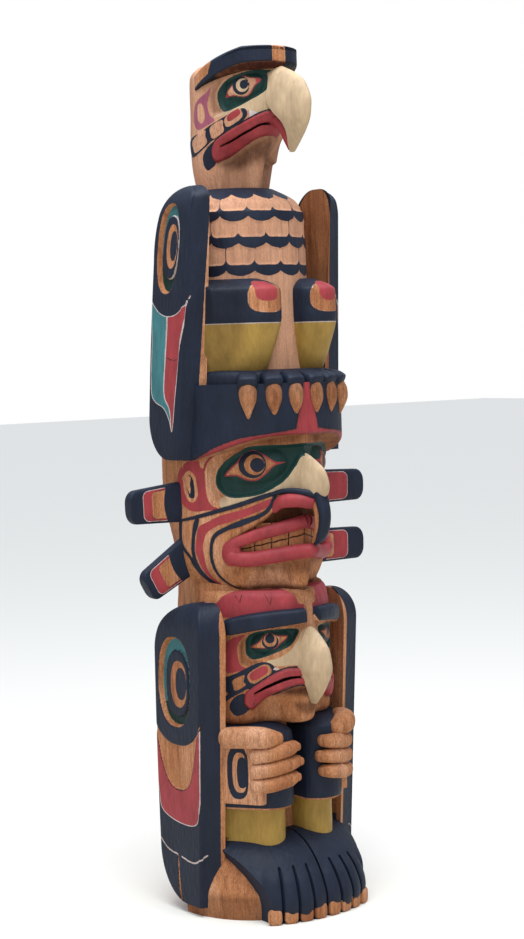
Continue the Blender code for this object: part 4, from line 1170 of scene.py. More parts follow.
def middle_cheeks():
    """Eye sockets, eyes, cheeks, open mouth and chin of the middle face, carved and painted.

    u is the distance round from the centre line and v the height. The relief adds up smooth
    steps over the inside distances of the sockets, eyes, cavity and bare strips.
    """
    s = MIDDLE.columns(0.0026, 0.014)[None, :-1]
    z = np.linspace(0.853, 1.3, 176)[:, None]
    half, front = middle_half(z)
    u, v = np.broadcast_arrays(np.abs(s), z)
    paint = Paint(u.shape)
    bands = (
        (((0.42, 1.036), (0.352, 1.043), (0.297, 1.054), (0.24, 1.069), (0.18, 1.0855),
        (0.114, 1.1065), (0.074, 1.1155), (0.043, 1.1205), (0.012, 1.114), (-0.03, 1.095)),
        (0.006, 0.006, 0.01, 0.011, 0.0125, 0.012, 0.01, 0.009, 0.01, 0.012)),
        (((0.35, 1.045), (0.353, 1.01), (0.35, 0.985), (0.338, 0.968), (0.322, 0.948),
        (0.314, 0.925), (0.3, 0.897), (0.28, 0.872), (0.25, 0.85)),
        (0.018, 0.02, 0.018, 0.01, 0.008, 0.008, 0.007, 0.006, 0.006)),
        (((0.297, 1.045), (0.302, 1.03), (0.308, 1.005), (0.311, 0.966), (0.3075, 0.935),
        (0.2975, 0.906), (0.278, 0.881), (0.25, 0.862)),
        (0.012, 0.014, 0.01, 0.01, 0.01, 0.01, 0.008, 0.006)),
        (((0.088, 1.108), (0.092, 1.096), (0.101, 1.078), (0.124, 1.058), (0.181, 1.036),
        (0.212, 1.0255), (0.243, 1.0095), (0.255, 0.9935), (0.2595, 0.969), (0.2595, 0.935),
        (0.2525, 0.904), (0.2375, 0.88), (0.2155, 0.862)), (0.01, 0.01, 0.01, 0.011, 0.0155, 0.0115,
        0.0115, 0.01, 0.009, 0.009, 0.008, 0.007, 0.006)))
    lines = np.max([stroke(u, v, points, width) for points, width in bands], 0)
    cheek = patch(u, v, (
        (0.095, 1.1), (0.172, 1.073), (0.23, 1.058), (0.266, 1.042), (0.292, 1.028), (0.3, 1.001),
        (0.303, 0.966), (0.299, 0.942), (0.293, 0.916), (0.279, 0.889), (0.258, 0.866), (0.246, 0.866),
        (0.268, 0.889), (0.278, 0.916), (0.28, 0.948), (0.282, 0.975), (0.276, 1.002), (0.267, 1.015),
        (0.24, 1.031), (0.193, 1.045), (0.144, 1.062), (0.109, 1.078)))
    paint.put("red", cheek)
    ear = patch(u, v, (
        (0.289, 1.205), (0.312, 1.202), (0.334, 1.189), (0.35, 1.167), (0.356, 1.134), (0.351, 1.105),
        (0.335, 1.084), (0.317, 1.071), (0.296, 1.068), (0.268, 1.071), (0.237, 1.075), (0.256, 1.085),
        (0.265, 1.101), (0.269, 1.122), (0.271, 1.149), (0.273, 1.175), (0.284, 1.186)))
    paint.put("red", ear)
    paint.put("red", stroke(u, v, (
        (0.19, 1.247), (0.224, 1.225), (0.252, 1.21), (0.267, 1.194), (0.273, 1.175)), 0.006))
    ring = patch(u, v, (
        (0.316, 1.175), (0.299, 1.16), (0.294, 1.135), (0.293, 1.111), (0.303, 1.094), (0.316, 1.093),
        (0.327, 1.108), (0.334, 1.135), (0.332, 1.162)))
    slot_in = patch(u, v, (
        (0.314, 1.163), (0.305, 1.149), (0.302, 1.122), (0.303, 1.106), (0.31, 1.102), (0.319, 1.108),
        (0.325, 1.135), (0.325, 1.156)))
    paint.put(None, ring)
    paint.put("navy", slot_in)
    socket = patch(u, v, (
        (0.176, 1.224), (0.208, 1.204), (0.231, 1.183), (0.241, 1.162), (0.242, 1.14), (0.233, 1.122),
        (0.211, 1.106), (0.18, 1.103), (0.125, 1.111), (0.085, 1.13), (0.059, 1.148), (0.032, 1.182),
        (0.014, 1.207), (-0.02, 1.207), (-0.02, 1.239), (0.057, 1.239), (0.143, 1.237)))
    cream = patch(u, v, (
        (0.232, 1.1), (0.211, 1.108), (0.18, 1.105), (0.125, 1.113), (0.085, 1.132), (0.059, 1.15),
        (0.032, 1.184), (0.014, 1.209), (-0.03, 1.2), (-0.03, 1.11), (0.02, 1.118), (0.074, 1.117),
        (0.114, 1.108), (0.18, 1.088), (0.228, 1.078)))
    crescent = patch(u, v, (
        (0.244, 1.185), (0.262, 1.16), (0.262, 1.12), (0.248, 1.092), (0.222, 1.088), (0.214, 1.102),
        (0.234, 1.12), (0.243, 1.14), (0.243, 1.162)))
    paint.put("cream", cream)
    paint.put("green", socket)
    lens = (
        (0.222, 1.16), (0.187, 1.194), (0.169, 1.215), (0.143, 1.226), (0.113, 1.214), (0.084, 1.196),
        (0.058, 1.193), (0.088, 1.184), (0.11, 1.163), (0.137, 1.146), (0.163, 1.149), (0.188, 1.16))
    eye_paint(u, v, paint, lens, (0.144, 1.189), (0.0355, 0.0265, 0.0185), None, 0.004, (-0.36, -0.03))
    cavity = patch(u, v, (
        (0.214, 0.99), (0.179, 1.012), (0.145, 1.032), (0.108, 1.056), (0.09, 1.078), (0.082, 1.098),
        (0.05, 1.106), (-0.03, 1.104), (-0.03, 0.96), (0.06, 0.952), (0.14, 0.942), (0.205, 0.948),
        (0.222, 0.968)))
    paint.put(None, cavity)
    paint.put("navy", lines)
    # Painted shade in the sunk mouth cavity.
    paint.shade_and_stain(cavity - 0.004, 0.9, 0.016)
    # Painted shade in the hollow under the lower lip.
    chin = patch(u, v, (
        (0.18, 0.93), (0.1, 0.932), (-0.02, 0.94), (-0.02, 0.9), (0.09, 0.905), (0.15, 0.915)))
    paint.shade_and_stain(chin, 0.45, 0.012)
    # Painted shade in the sunk crescent and under the brow, a painted shadow along the chin's lower edge,
    # and painted shade along the navy lines' edges.
    paint.shade_and_stain(crescent - 0.003, 0.35, 0.012)
    paint.shade_and_stain(v - 1.24, 0.5, 0.01)
    paint.shade_and_stain(0.868 - v, 0.8, 0.006)
    paint.shade_and_stain(0.0015 - np.abs(lines), 0.5, 0.003)
    eye = oval(u, v, (0.14, 1.186), (0.085, 0.046), 2.0, -6)
    relief = -0.016 * ramp(socket, 0.0, 0.012) + 0.02 * np.sqrt(ramp(eye, -0.004, 0.04))
    relief = relief - 0.004 * ramp(crescent, -0.002, 0.01)
    relief = relief - 0.036 * ramp(cavity, 0.001, 0.012) - 0.003 * ramp(slot_in, -0.001, 0.003)
    bare = np.minimum(-paint.field["navy"], -paint.field["red"])
    relief = relief - 0.0012 * ramp(bare, 0.0, 0.003) * ramp(u, 0.19, 0.22)
    hollow = ramp(u, 0.012, 0.085) * ramp(0.205 - u, 0.0, 0.09) * ramp(0.965 - v, 0.0, 0.05)
    relief = relief - 0.032 * hollow
    carve("middle_face", [(MIDDLE.grid(s, z, half, front, 0.02, 0.0, relief), paint)])


def middle_brow():
    """The broad forehead between the eagle's feet and the middle eyes, with a red edge and centre band.

    Its lower edge and the red edge's width follow a table round the face, and rows rise from it
    to the top, tucked in at the foot as a quarter circle is.
    """
    half, front = 0.238, 0.256
    form = Section(half, front, 2.15, 0.02)
    s = form.columns(0.004, 0.02)[None, :-1]
    bottom, edge = through(
        ((-0.064, 1.263, 0.015), (0.0, 1.262, 0.017), (0.036, 1.263, 0.016), (0.064, 1.263, 0.012),
        (0.128, 1.258, 0.01), (0.193, 1.243, 0.015), (0.257, 1.222, 0.014), (0.311, 1.207, 0.004),
        (0.36, 1.2, 0.0), (0.6, 1.2, 0.0)), np.abs(s))
    step = np.concatenate([[0.0, 0.004, 0.012, 0.025], np.linspace(0.05, 1, 52)])[:, None]
    z = bottom + (1.398 - bottom) * step
    tuck = 0.955 + 0.045 * np.sqrt(np.clip(step / 0.06, 0, 1))
    grid = form.grid(s, z, half * tuck, front * tuck, 0.02, 0.0)
    u, v = np.broadcast_arrays(np.abs(s), z)
    paint = Paint(u.shape, "navy")
    middle = np.interp(v, (1.262, 1.277, 1.319, 1.357, 1.4), (0.045, 0.037, 0.027, 0.0135, 0.01)) - u
    for inside in (middle, bottom + edge - v):
        paint.put("red", np.minimum(inside, edge - 0.0005))
    paint.field["red"] = np.maximum(paint.field["red"], middle)
    paint.field["navy"] = np.minimum(paint.field["navy"], -paint.field["red"])
    paint.put(None, bottom + 0.0012 - v)
    # Painted shade along the edges of the red bands.
    paint.shade_and_stain(0.003 - np.abs(paint.field["red"]), 0.45, 0.003)
    carve("middle_brow", [(grid, paint)])


def middle_nose():
    """The middle figure's short cream beak."""
    beak("middle_nose", (
        (1.216, 0.009, -0.236, 0.05), (1.208, 0.014, -0.262, 0.08), (1.176, 0.021, -0.316, 0.12),
        (1.138, 0.027, -0.335, 0.13), (1.112, 0.028, -0.328, 0.12), (1.098, 0.02, -0.306, 0.1)))


def middle_flap():
    """The navy centre of the middle beak, hanging over the open mouth, with its bare inner wall."""
    outer = ((0.0, -0.3, 1.11), (0.0, -0.315, 1.066), (0.0, -0.313, 1.03), (0.0, -0.299, 1.0),
             (0.0, -0.276, 0.98))
    inner = ((0.0, -0.276, 1.108), (0.0, -0.295, 1.066), (0.0, -0.294, 1.03), (0.0, -0.284, 1.0),
             (0.0, -0.266, 0.984))
    parts = []
    for path, radii, ink in ((outer, (0.019, 0.0165, 0.0155, 0.013, 0.005), "navy"),
                             (inner, (0.018, 0.0155, 0.0145, 0.012, 0.005), None)):
        grid = sweep(path, radii, 44, 0.003, 0.85, (0, 1, 0.25), 0.8, 2.3)
        parts.append((grid, Paint(grid.shape[:2], ink)))
    carve("middle_flap", parts)


def middle_lips():
    """The arch above the mouth, the upper and lower lips with their round corners, and the navy line."""
    parts = []
    roof = middle_point(
        (0.09, 0.077, 0.06, 0.03, 0.004), (1.07, 1.087, 1.094, 1.095, 1.09),
        np.array((-0.006, 0.002, 0.01, 0.02, 0.026)))
    upper = middle_point(
        (0.205, 0.19, 0.145, 0.088, 0.04, 0.004), (0.974, 0.987, 1.003, 1.018, 1.03, 1.038),
        np.array((-0.006, -0.008, -0.012, -0.013, -0.013, -0.013)))
    lower = middle_point(
        (0.205, 0.185, 0.147, 0.09, 0.034, 0.004), (0.95, 0.943, 0.942, 0.95, 0.958, 0.962),
        np.array((0.0, -0.004, -0.009, -0.012, -0.006, 0.01)))
    for path, radii in ((roof, (0.009, 0.0155, 0.018, 0.0185, 0.0185)),
                        (upper, (0.018, 0.0165, 0.0165, 0.017, 0.0175, 0.0175)),
                        (lower, (0.02, 0.0205, 0.02, 0.02, 0.0195, 0.0185))):
        grid = arch(path, radii, columns=36)
        parts.append((grid, Paint(grid.shape[:2], "red")))
    turn = ball(middle_point(0.205, 0.959, -0.004), (0.026, 0.018, 0.035), 48, 26, 36)
    parts += both(turn, Paint(turn.shape[:2], "red"))
    line = middle_point(
        (0.1, 0.07, 0.04, 0.016, 0.003), (1.11, 1.1185, 1.1195, 1.115, 1.109),
        np.array((-0.003, 0.006, 0.019, 0.03, 0.037)))
    grid = arch(line, (0.0045, 0.0065, 0.0075, 0.009, 0.01))
    parts.append((grid, Paint(grid.shape[:2], "navy")))
    carve("middle_lips", parts)


def middle_teeth():
    """Bare teeth: a thin curved slab with grooves between the teeth and a waved line across them."""
    s = np.linspace(-0.192, 0.192, 190)[None]
    z = np.linspace(0.945, 1.035, 52)[:, None]
    row = middle_point(s + 0 * z, z + 0 * s, -0.017)
    gap = np.min([np.abs(np.abs(s) - place) for place in (0.006, 0.052, 0.098, 0.143)], 0)
    wave = z - (0.974 + (0.145 - np.abs(s)) * 0.21 + 0.0007 * np.sin(np.abs(s) * 190))
    line = np.maximum(0.0014 - gap + 0 * z, 0.0016 - np.abs(wave))
    row[..., 1] += 0.004 * ramp(line, -0.002, 0.001)
    behind = row[:, ::-6].copy()
    behind[..., 1] += 0.012
    behind[..., 0] *= 0.97
    paint = Paint((len(z), row.shape[1] + behind.shape[1]))
    paint.put("dark", np.concatenate([line, np.full(behind.shape[:2], -FAR)], 1))
    carve("middle_teeth", [(np.concatenate([row, behind], 1), paint)])


def rays():
    """Four painted boards let into the log: navy edge, red loop and bare middle.

    Each is given as its name, side, height and droop in degrees, then how far out it reaches, its
    half-widths at root and tip, and how far out the red, the bare and the root's navy run. Along
    the board its half-width narrows evenly, then as a quarter circle at the tip, and round the
    board it is a superellipse with flat sides.
    """
    start, rounding = 0.185, 0.022
    boards = (("ray_upper_left", -1, 1.094, 2.0, 0.392, 0.056, 0.043, 0.168, 0.141, 0.1),
              ("ray_upper_right", 1, 1.102, 1.0, 0.392, 0.048, 0.043, 0.148, 0.08, 0.06),
              ("ray_lower_left", -1, 0.962, 29.0, 0.368, 0.052, 0.042, 0.161, 0.131, 0.088),
              ("ray_lower_right", 1, 0.938, 1.0, 0.388, 0.048, 0.044, 0.144, 0.094, 0.07))
    for name, side, height, droop, reach, root, tip, red, tan, dark in boards:
        length = reach - start
        tip_rows = length - rounding * (1 - np.sin(np.linspace(0, 1.45, 12)))
        along = np.concatenate([np.linspace(0, length - rounding, 46), tip_rows[1:]])[:, None]
        half = root + (tip - root) * along / length
        into = np.clip((along - (length - rounding)) / rounding, 0, 1)
        half = half - rounding * (1 - np.sqrt(1 - into ** 2))
        turn = np.linspace(0, 2 * math.pi, 104, endpoint=False)[None]
        up = half * bent(np.cos(turn), 0.55)
        y = 0.004 + 0.0148 * bent(np.sin(turn), 0.4)
        u, v = np.broadcast_arrays(along, up)
        paint = Paint(u.shape, "navy")
        tall = root + (tip - root) * u / length - np.abs(v)
        loop = corner(red - u, tall - 0.0075, 0.016)
        paint.put("pale", loop + 0.0014)
        paint.put("red", loop)
        middle = corner(tan - u, tall - 0.013, 0.012)
        paint.put("dark", middle + 0.0016)
        paint.put(None, middle)
        paint.put("navy", dark + 0.004 - 5.0 * v ** 2 - u)
        tilt = math.radians(-droop)
        x = start + u * math.cos(tilt) - v * math.sin(tilt)
        z = height + u * math.sin(tilt) + v * math.cos(tilt)
        shells = Shells()
        shells.add(np.stack([side * x, np.broadcast_to(y, x.shape), z], -1), paint)
        board = shells.piece(f"{name}_board", "painted board", BOARD_EDGE)
        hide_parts(name)


# The lower head

def lower_levels(z):
    """Half-width and front depth of the lower head at each height."""
    return through(
        ((0.505, 0.19, 0.178), (0.514, 0.198, 0.196), (0.535, 0.203, 0.205), (0.6, 0.205, 0.213),
        (0.7, 0.205, 0.215), (0.79, 0.204, 0.213), (0.84, 0.197, 0.206), (0.858, 0.186, 0.19)), z)


def lower_point(s, z, lift):
    """A point of the lower head at arc length s and height z, raised by lift."""
    half, front = lower_levels(np.asarray(z, float))
    return head_point(LOWER, half, front, LOWER_Y, s, z, lift)


def lower_head():
    """Forehead, sockets, cheeks, lips and chin of the seated figure.

    u is the distance round from the centre line and v the height. The relief adds up smooth
    steps over the inside distances of the sockets, eyes, strips and lips.
    """
    s = LOWER.columns(0.0025, 0.014)[None, :-1]
    z = np.concatenate([np.linspace(0.505, 0.53, 11), np.linspace(0.5324, 0.858, 132)])[:, None]
    half, front = lower_levels(z)
    u, v = np.broadcast_arrays(np.abs(s), z)
    paint = Paint(u.shape)
    top = through(
        ((-0.1, 0.84), (0.017, 0.822), (0.034, 0.84), (0.054, 0.858), (0.091, 0.864), (0.147, 0.862),
        (0.196, 0.86), (0.236, 0.846), (0.259, 0.825), (0.33, 0.78), (0.7, 0.78)), u)[0]
    forehead = np.minimum(np.minimum(v - 0.79, top - v), u - 0.014 - 0.25 * np.maximum(v - 0.82, 0))
    paint.put("red", forehead)
    for mark in (((0.202, 0.847), (0.188, 0.83), (0.183, 0.85)),
                 ((0.119, 0.85), (0.106, 0.823), (0.098, 0.85))):
        for ends in (mark[:2], mark[1:]):
            paint.put("dark", stroke(u, v, ends, 0.0022))
    paint.put("red", patch(u, v, (
        (0.176, 0.745), (0.205, 0.738), (0.226, 0.726), (0.242, 0.706), (0.24, 0.672), (0.228, 0.645),
        (0.203, 0.648), (0.172, 0.656), (0.19, 0.667), (0.197, 0.696), (0.194, 0.722))))
    paint.put("cream", patch(u, v, (
        (-0.03, 0.756), (0.019, 0.756), (0.037, 0.729), (0.058, 0.702), (0.09, 0.683), (0.12, 0.676),
        (0.1, 0.664), (0.06, 0.663), (0.039, 0.662), (0.016, 0.652), (-0.03, 0.65))))
    socket = patch(u, v, (
        (0.172, 0.736), (0.15, 0.752), (0.093, 0.759), (0.036, 0.758), (0.04, 0.736), (0.058, 0.714),
        (0.095, 0.698), (0.124, 0.687), (0.155, 0.681), (0.172, 0.693), (0.175, 0.713)))
    crescent = patch(u, v, (
        (0.176, 0.742), (0.194, 0.725), (0.196, 0.696), (0.19, 0.667), (0.167, 0.659), (0.128, 0.675),
        (0.155, 0.679), (0.173, 0.691), (0.176, 0.716)))
    paint.put("green", socket)
    lens = (
        (0.163, 0.711), (0.139, 0.728), (0.125, 0.744), (0.108, 0.75), (0.085, 0.743), (0.061, 0.74),
        (0.083, 0.721), (0.098, 0.707), (0.123, 0.709))
    eye_paint(u, v, paint, lens, (0.109, 0.728), (0.0215, 0.0172, 0.0122), None, 0.0028, (0.03, 0.34))
    strip = patch(u, v, (
        (0.3, 0.612), (0.244, 0.63), (0.206, 0.642), (0.158, 0.666), (0.128, 0.674), (0.106, 0.668),
        (0.097, 0.652), (0.11, 0.637), (0.137, 0.62), (0.172, 0.603), (0.214, 0.58), (0.245, 0.562),
        (0.285, 0.556), (0.31, 0.58)))
    paint.put("navy", strip)
    paint.put(None, patch(u, v, (
        (0.21, 0.626), (0.18, 0.64), (0.182, 0.622), (0.176, 0.614), (0.203, 0.598),
        (0.21, 0.61))))
    paint.put(None, patch(u, v, (
        (0.262, 0.612), (0.236, 0.619), (0.232, 0.6), (0.226, 0.588), (0.248, 0.576),
        (0.262, 0.585))))
    paint.put(None, oval(u, v, (0.139, 0.643), (0.0335, 0.0175), 3.0, -30))
    paint.put("red", oval(u, v, (0.141, 0.645), (0.0265, 0.0125), 3.0, -30))
    paint.put("pale", polygon(u, v, ((0.104, 0.653), (0.101, 0.659), (0.08, 0.654))))
    paint.put("navy", patch(u, v, (
        (0.18, 0.59), (0.205, 0.582), (0.22, 0.563), (0.219, 0.544), (0.2, 0.53), (0.17, 0.545),
        (0.166, 0.57))))
    lips = patch(u, v, (
        (0.156, 0.549), (0.168, 0.549), (0.18, 0.565), (0.178, 0.591), (0.16, 0.606), (0.125, 0.629),
        (0.097, 0.645), (0.068, 0.655), (0.035, 0.656), (-0.03, 0.65), (-0.03, 0.6), (0.02, 0.61),
        (0.05, 0.609), (0.098, 0.59), (0.127, 0.573)))
    paint.put("navy", np.minimum(lips + 0.004, v - 0.6 + 0.3 * (0.16 - u)))
    paint.put("red", lips)
    mouth = stroke(u, v, (
        (0.152, 0.592), (0.126, 0.606), (0.097, 0.619), (0.069, 0.629), (0.04, 0.632), (0.0, 0.63)),
        (0.003, 0.007, 0.008, 0.008, 0.006, 0.004))
    paint.put("dark", mouth)
    paint.put("dark", stroke(u, v, ((0.152, 0.59), (0.15, 0.572), (0.158, 0.56)), 0.0018))
    # Painted shade in the sunk throat below the lips and under the beak's tip.
    paint.shade_and_stain(patch(u, v, (
        (0.1, 0.59), (0.05, 0.605), (-0.02, 0.605), (-0.02, 0.575), (0.03, 0.58))), 0.9, 0.01)
    paint.shade_and_stain(patch(u, v, ((0.04, 0.558), (-0.02, 0.565), (-0.02, 0.53), (0.02, 0.535))), 0.7, 0.01)
    # Painted shade in the sunk crescent and along the raised lips' edges; the last line darkens the middle
    # above the eyes, beside the beak's root.
    paint.shade_and_stain(crescent - 0.003, 0.45, 0.01)
    paint.shade_and_stain(0.002 - np.abs(lips), 0.5, 0.004)
    paint.shade_and_stain(np.minimum(v - 0.72, 0.05 - u), 0.35, 0.02)
    eye = oval(u, v, (0.108, 0.727), (0.054, 0.03), 2.0, -12)
    relief = (-0.012 * ramp(socket, 0.0, 0.008) + 0.014 * np.sqrt(ramp(eye, -0.002, 0.022))
              + 0.0015 * ramp(strip, -0.001, 0.002))
    relief = relief - 0.003 * ramp(crescent, -0.002, 0.008)
    relief = relief + 0.009 * ramp(lips, -0.001, 0.006) - 0.015 * ramp(mouth, -0.001, 0.003)
    throat = ramp(u, 0.01, 0.08) * ramp(0.185 - u, 0.0, 0.07) * ramp(0.605 - v, 0.0, 0.05)
    relief = relief - 0.03 * throat
    carve("lower_head", [(LOWER.grid(s, z, half, front, 0.06, LOWER_Y, relief), paint)])


def lower_brows():
    """Two navy brow slabs of the seated figure, bare below, with a gap on the centre line."""
    path = lower_point(
        (0.228, 0.205, 0.15, 0.09, 0.04, 0.018), (0.762, 0.768, 0.779, 0.787, 0.791, 0.793), 0.004)
    columns = 48
    grid = sweep(path, (0.019, 0.0235, 0.0235, 0.0225, 0.0205, 0.0195), columns, 0.0035, 1.0,
                 (0, 0, 1), 0.25, 3.4)
    turn = np.linspace(0, 2 * math.pi, columns, endpoint=False)[None]
    paint = Paint(grid.shape[:2], "navy")
    paint.put(None, -0.01 * (np.sin(turn) + 0.8))
    carve("lower_brows", both(grid, paint))


def lower_beak():
    """The seated figure's hooked beak."""
    beak("lower_beak", (
        (0.766, 0.014, -0.228, 0.04), (0.75, 0.022, -0.27, 0.08), (0.712, 0.031, -0.311, 0.11),
        (0.676, 0.037, -0.322, 0.11), (0.652, 0.036, -0.322, 0.09), (0.63, 0.029, -0.314, 0.075),
        (0.6, 0.019, -0.297, 0.052), (0.575, 0.011, -0.276, 0.03), (0.56, 0.005, -0.262, 0.014)))


def lower_palate():
    """The red inner side of the seated figure's beak."""
    palate("lower_palate", (
        (0.0, -0.178, 0.632), (0.0, -0.212, 0.626), (0.0, -0.236, 0.606), (0.0, -0.249, 0.586),
        (0.0, -0.246, 0.573)), (0.018, 0.0175, 0.0165, 0.012, 0.006))


# The seated figure's legs, hands and feet

def lower_legs():
    """Knees and shins: navy knee, bare cuff line and yellow shin."""
    grid, s, z = leg_grid(
        ((0.11, 0.08, -0.136, 0.05), (0.2, 0.08, -0.137, 0.05), (0.278, 0.08, -0.138, 0.0505),
        (0.284, 0.081, -0.144, 0.055), (0.287, 0.082, -0.152, 0.061), (0.3, 0.082, -0.156, 0.0635),
        (0.36, 0.082, -0.157, 0.064), (0.47, 0.082, -0.157, 0.064), (0.492, 0.082, -0.15, 0.058),
        (0.503, 0.083, -0.136, 0.045), (0.508, 0.083, -0.12, 0.03)))
    paint = Paint(s.shape)
    paint.put("gold", 0.286 - z)
    paint.put("navy", z - 0.292)
    carve_pairs({"lower_leg": [(grid, paint)]})


def hands():
    """Hands laid on the knees: a palm block with a painted ovoid, three fingers and a thumb.

    The palm is its level outline drawn in a little towards its top and bottom.
    """
    front = smooth(
        ((0.204, -0.112), (0.18, -0.15), (0.162, -0.18), (0.15, -0.198), (0.138, -0.206),
        (0.124, -0.202)))
    outline = np.vstack([front, [(0.12, -0.15), (0.14, -0.11), (0.204, -0.08)]])
    turn = np.linspace(0.1, math.pi - 0.1, 50)[:, None]
    z = 0.398 - 0.094 * np.cos(turn)
    middle = outline.mean(0)
    shrink = 0.9 + 0.1 * np.sin(turn) ** 0.45
    xy = middle + (outline[None] - middle) * shrink[..., None]
    palm = np.concatenate([xy, np.broadcast_to(z[..., None], xy.shape[:2] + (1,))], -1)
    run = np.concatenate([[0], np.cumsum(np.hypot(*np.diff(outline, axis=0).T))])[None] + 0 * z
    level = z + 0 * run
    paint = Paint(palm.shape[:2])
    paint.put("navy", oval(run, level, (0.046, 0.388), (0.03, 0.07), 2.8))
    paint.put(None, oval(run, level, (0.051, 0.388), (0.0205, 0.053), 2.6))
    paint.put("navy", oval(run, level, (0.0575, 0.388), (0.0145, 0.041), 2.6))
    parts = [(palm, paint)]
    for height, tip in ((0.437, 0.042), (0.397, 0.032), (0.357, 0.042)):
        path = ((0.15, -0.19, height - 0.004), (0.12, -0.214, height), (0.096, -0.224, height + 0.006),
                (0.072, -0.228, height + 0.009), (tip + 0.006, -0.221, height + 0.012))
        finger = sweep(path, (0.0225, 0.0215, 0.0222, 0.0205, 0.0165), 32, 0.0025, 0.94, (0, 0, 1),
                       0.75, 2.3)
        nail = ball((tip + 0.01, -0.236, height + 0.013), (0.0135, 0.0045, 0.0115), 20, 18, 28, 0.7)
        parts += [(finger, None), (nail, None)]
    thumb = ((0.192, -0.126, 0.478), (0.16, -0.18, 0.482), (0.13, -0.206, 0.48), (0.098, -0.214, 0.474))
    thumb = sweep(thumb, (0.029, 0.03, 0.0285, 0.021), 36, 0.0025, 0.95, (0, 0, 1), 0.8, 2.4)
    carve_pairs({"hand": [*parts, (thumb, None)]}, "adzed cedar")


def lower_feet():
    """Feet with four navy toes each and bare toenails.

    Each level runs out as an ellipse from the centre line. The toes swell as a sine over the
    angle seen from the log's axis, toe_turn degrees each, with narrow slots between them.
    """
    toe_turn, flatten, inside = 8.6, 0.75, 0.003
    t = np.linspace(0, 1, 150)[None]
    levels = ((0.0, 0.276, 0.15), (0.05, 0.286, 0.157), (0.1, 0.27, 0.17), (0.145, 0.242, 0.188),
              (0.178, 0.208, 0.204), (0.196, 0.176, 0.206), (0.204, 0.15, 0.196))
    z = np.concatenate([[0.0], np.linspace(0.0006, 0.204, 90)])[:, None]
    front, half = through(levels, z)
    x = inside + (half - inside) * t
    y = -np.sqrt(np.maximum(front ** 2 - x ** 2 * flatten, 0.004)) - 0.008 * np.sin(math.pi * t)
    turn = np.degrees(np.arctan2(x, -y))
    slot = sum(ramp(0.95 - np.abs(turn - edge), 0.0, 0.7) for edge in (9.0, 17.6, 26.2))
    swell = np.abs(np.sin(math.pi * (turn - 0.4) / toe_turn)) ** 0.7
    y = y + 0.017 * slot * ramp(-z, -0.142, -0.134) - 0.006 * swell * ramp(-z, -0.15, -0.1)
    back_x = np.concatenate([half, inside + 0 * half], 1)
    grid = np.stack([np.concatenate([x, back_x], 1), np.concatenate([y, np.full_like(back_x, -0.09)], 1),
                     np.broadcast_to(z, (len(z), x.shape[1] + 2))], -1)
    foot = [(grid, Paint(grid.shape[:2], "navy"))]
    nails = []
    for toe in range(4):
        turn = math.radians(4.7 + toe_turn * toe)
        ahead = (math.sin(turn), -math.cos(turn))
        reach = 0.28 / math.sqrt(ahead[1] ** 2 + flatten * ahead[0] ** 2) + 0.0062
        nail = ball((ahead[0] * reach, ahead[1] * reach, 0.0205), (0.0185, 0.0085, 0.0203),
                    math.degrees(turn), 30, 40, 0.55)
        nails.append((nail, None))
    carve_pairs({"foot": foot, "toenails": nails})


def base_blocks():
    """Swells of the log beside the feet: plain adzed wood, bevelled on the left and larger on the right.

    Each side keeps only its own half of the stretched outline, up to 4 cm from the centre line.
    """
    parts = []
    swell = Section(0.26, 0.235, 2.1, 0.02)
    s = swell.columns(0.007, 0.02)[None, :-1]
    sides = (
        ((0.0, 0.27, 0.236), (0.06, 0.272, 0.24), (0.125, 0.266, 0.234), (0.165, 0.246, 0.21),
        (0.195, 0.215, 0.16)),
        ((0.0, 0.246, 0.242), (0.03, 0.249, 0.252), (0.066, 0.25, 0.257), (0.08, 0.248, 0.25),
        (0.105, 0.242, 0.236), (0.14, 0.23, 0.214), (0.168, 0.214, 0.194), (0.184, 0.198, 0.172)))
    for side, levels in zip((1, -1), sides):
        z = np.concatenate([[0.0], np.linspace(0.0006, levels[-1][0], 44)])[:, None]
        half, depth = through(levels, z)
        cuts = adze(s, z, 0.026, 0.05, *sizes("adze_depth")) * ramp(z, 0.004, 0.03)
        grid = swell.grid(s, z, half, depth, 0.02, 0.0, -cuts)
        grid[..., 0] = side * np.maximum(side * grid[..., 0], 0.04)
        paint = Paint(grid.shape[:2])
        # Darker towards the bottom.
        paint.shade_and_stain(0.062 - z, 0.35, 0.006)
        parts.append((grid, paint))
    carve("base_shoulders", parts, "adzed cedar")


# Stage

# The photograph's height in pixels, and the camera's bearing, pitch and roll in degrees, its place
# in metres and the photograph's centre off the lens's axis in pixels, worked out from the perspective.
PHOTO_HEIGHT = 939
PHOTO_TURN = (37.0, 4.058, -1.64)
PHOTO_PLACE = (-3.0693, -4.073, 1.5)
PHOTO_SHIFT = (12.36, 9.2)


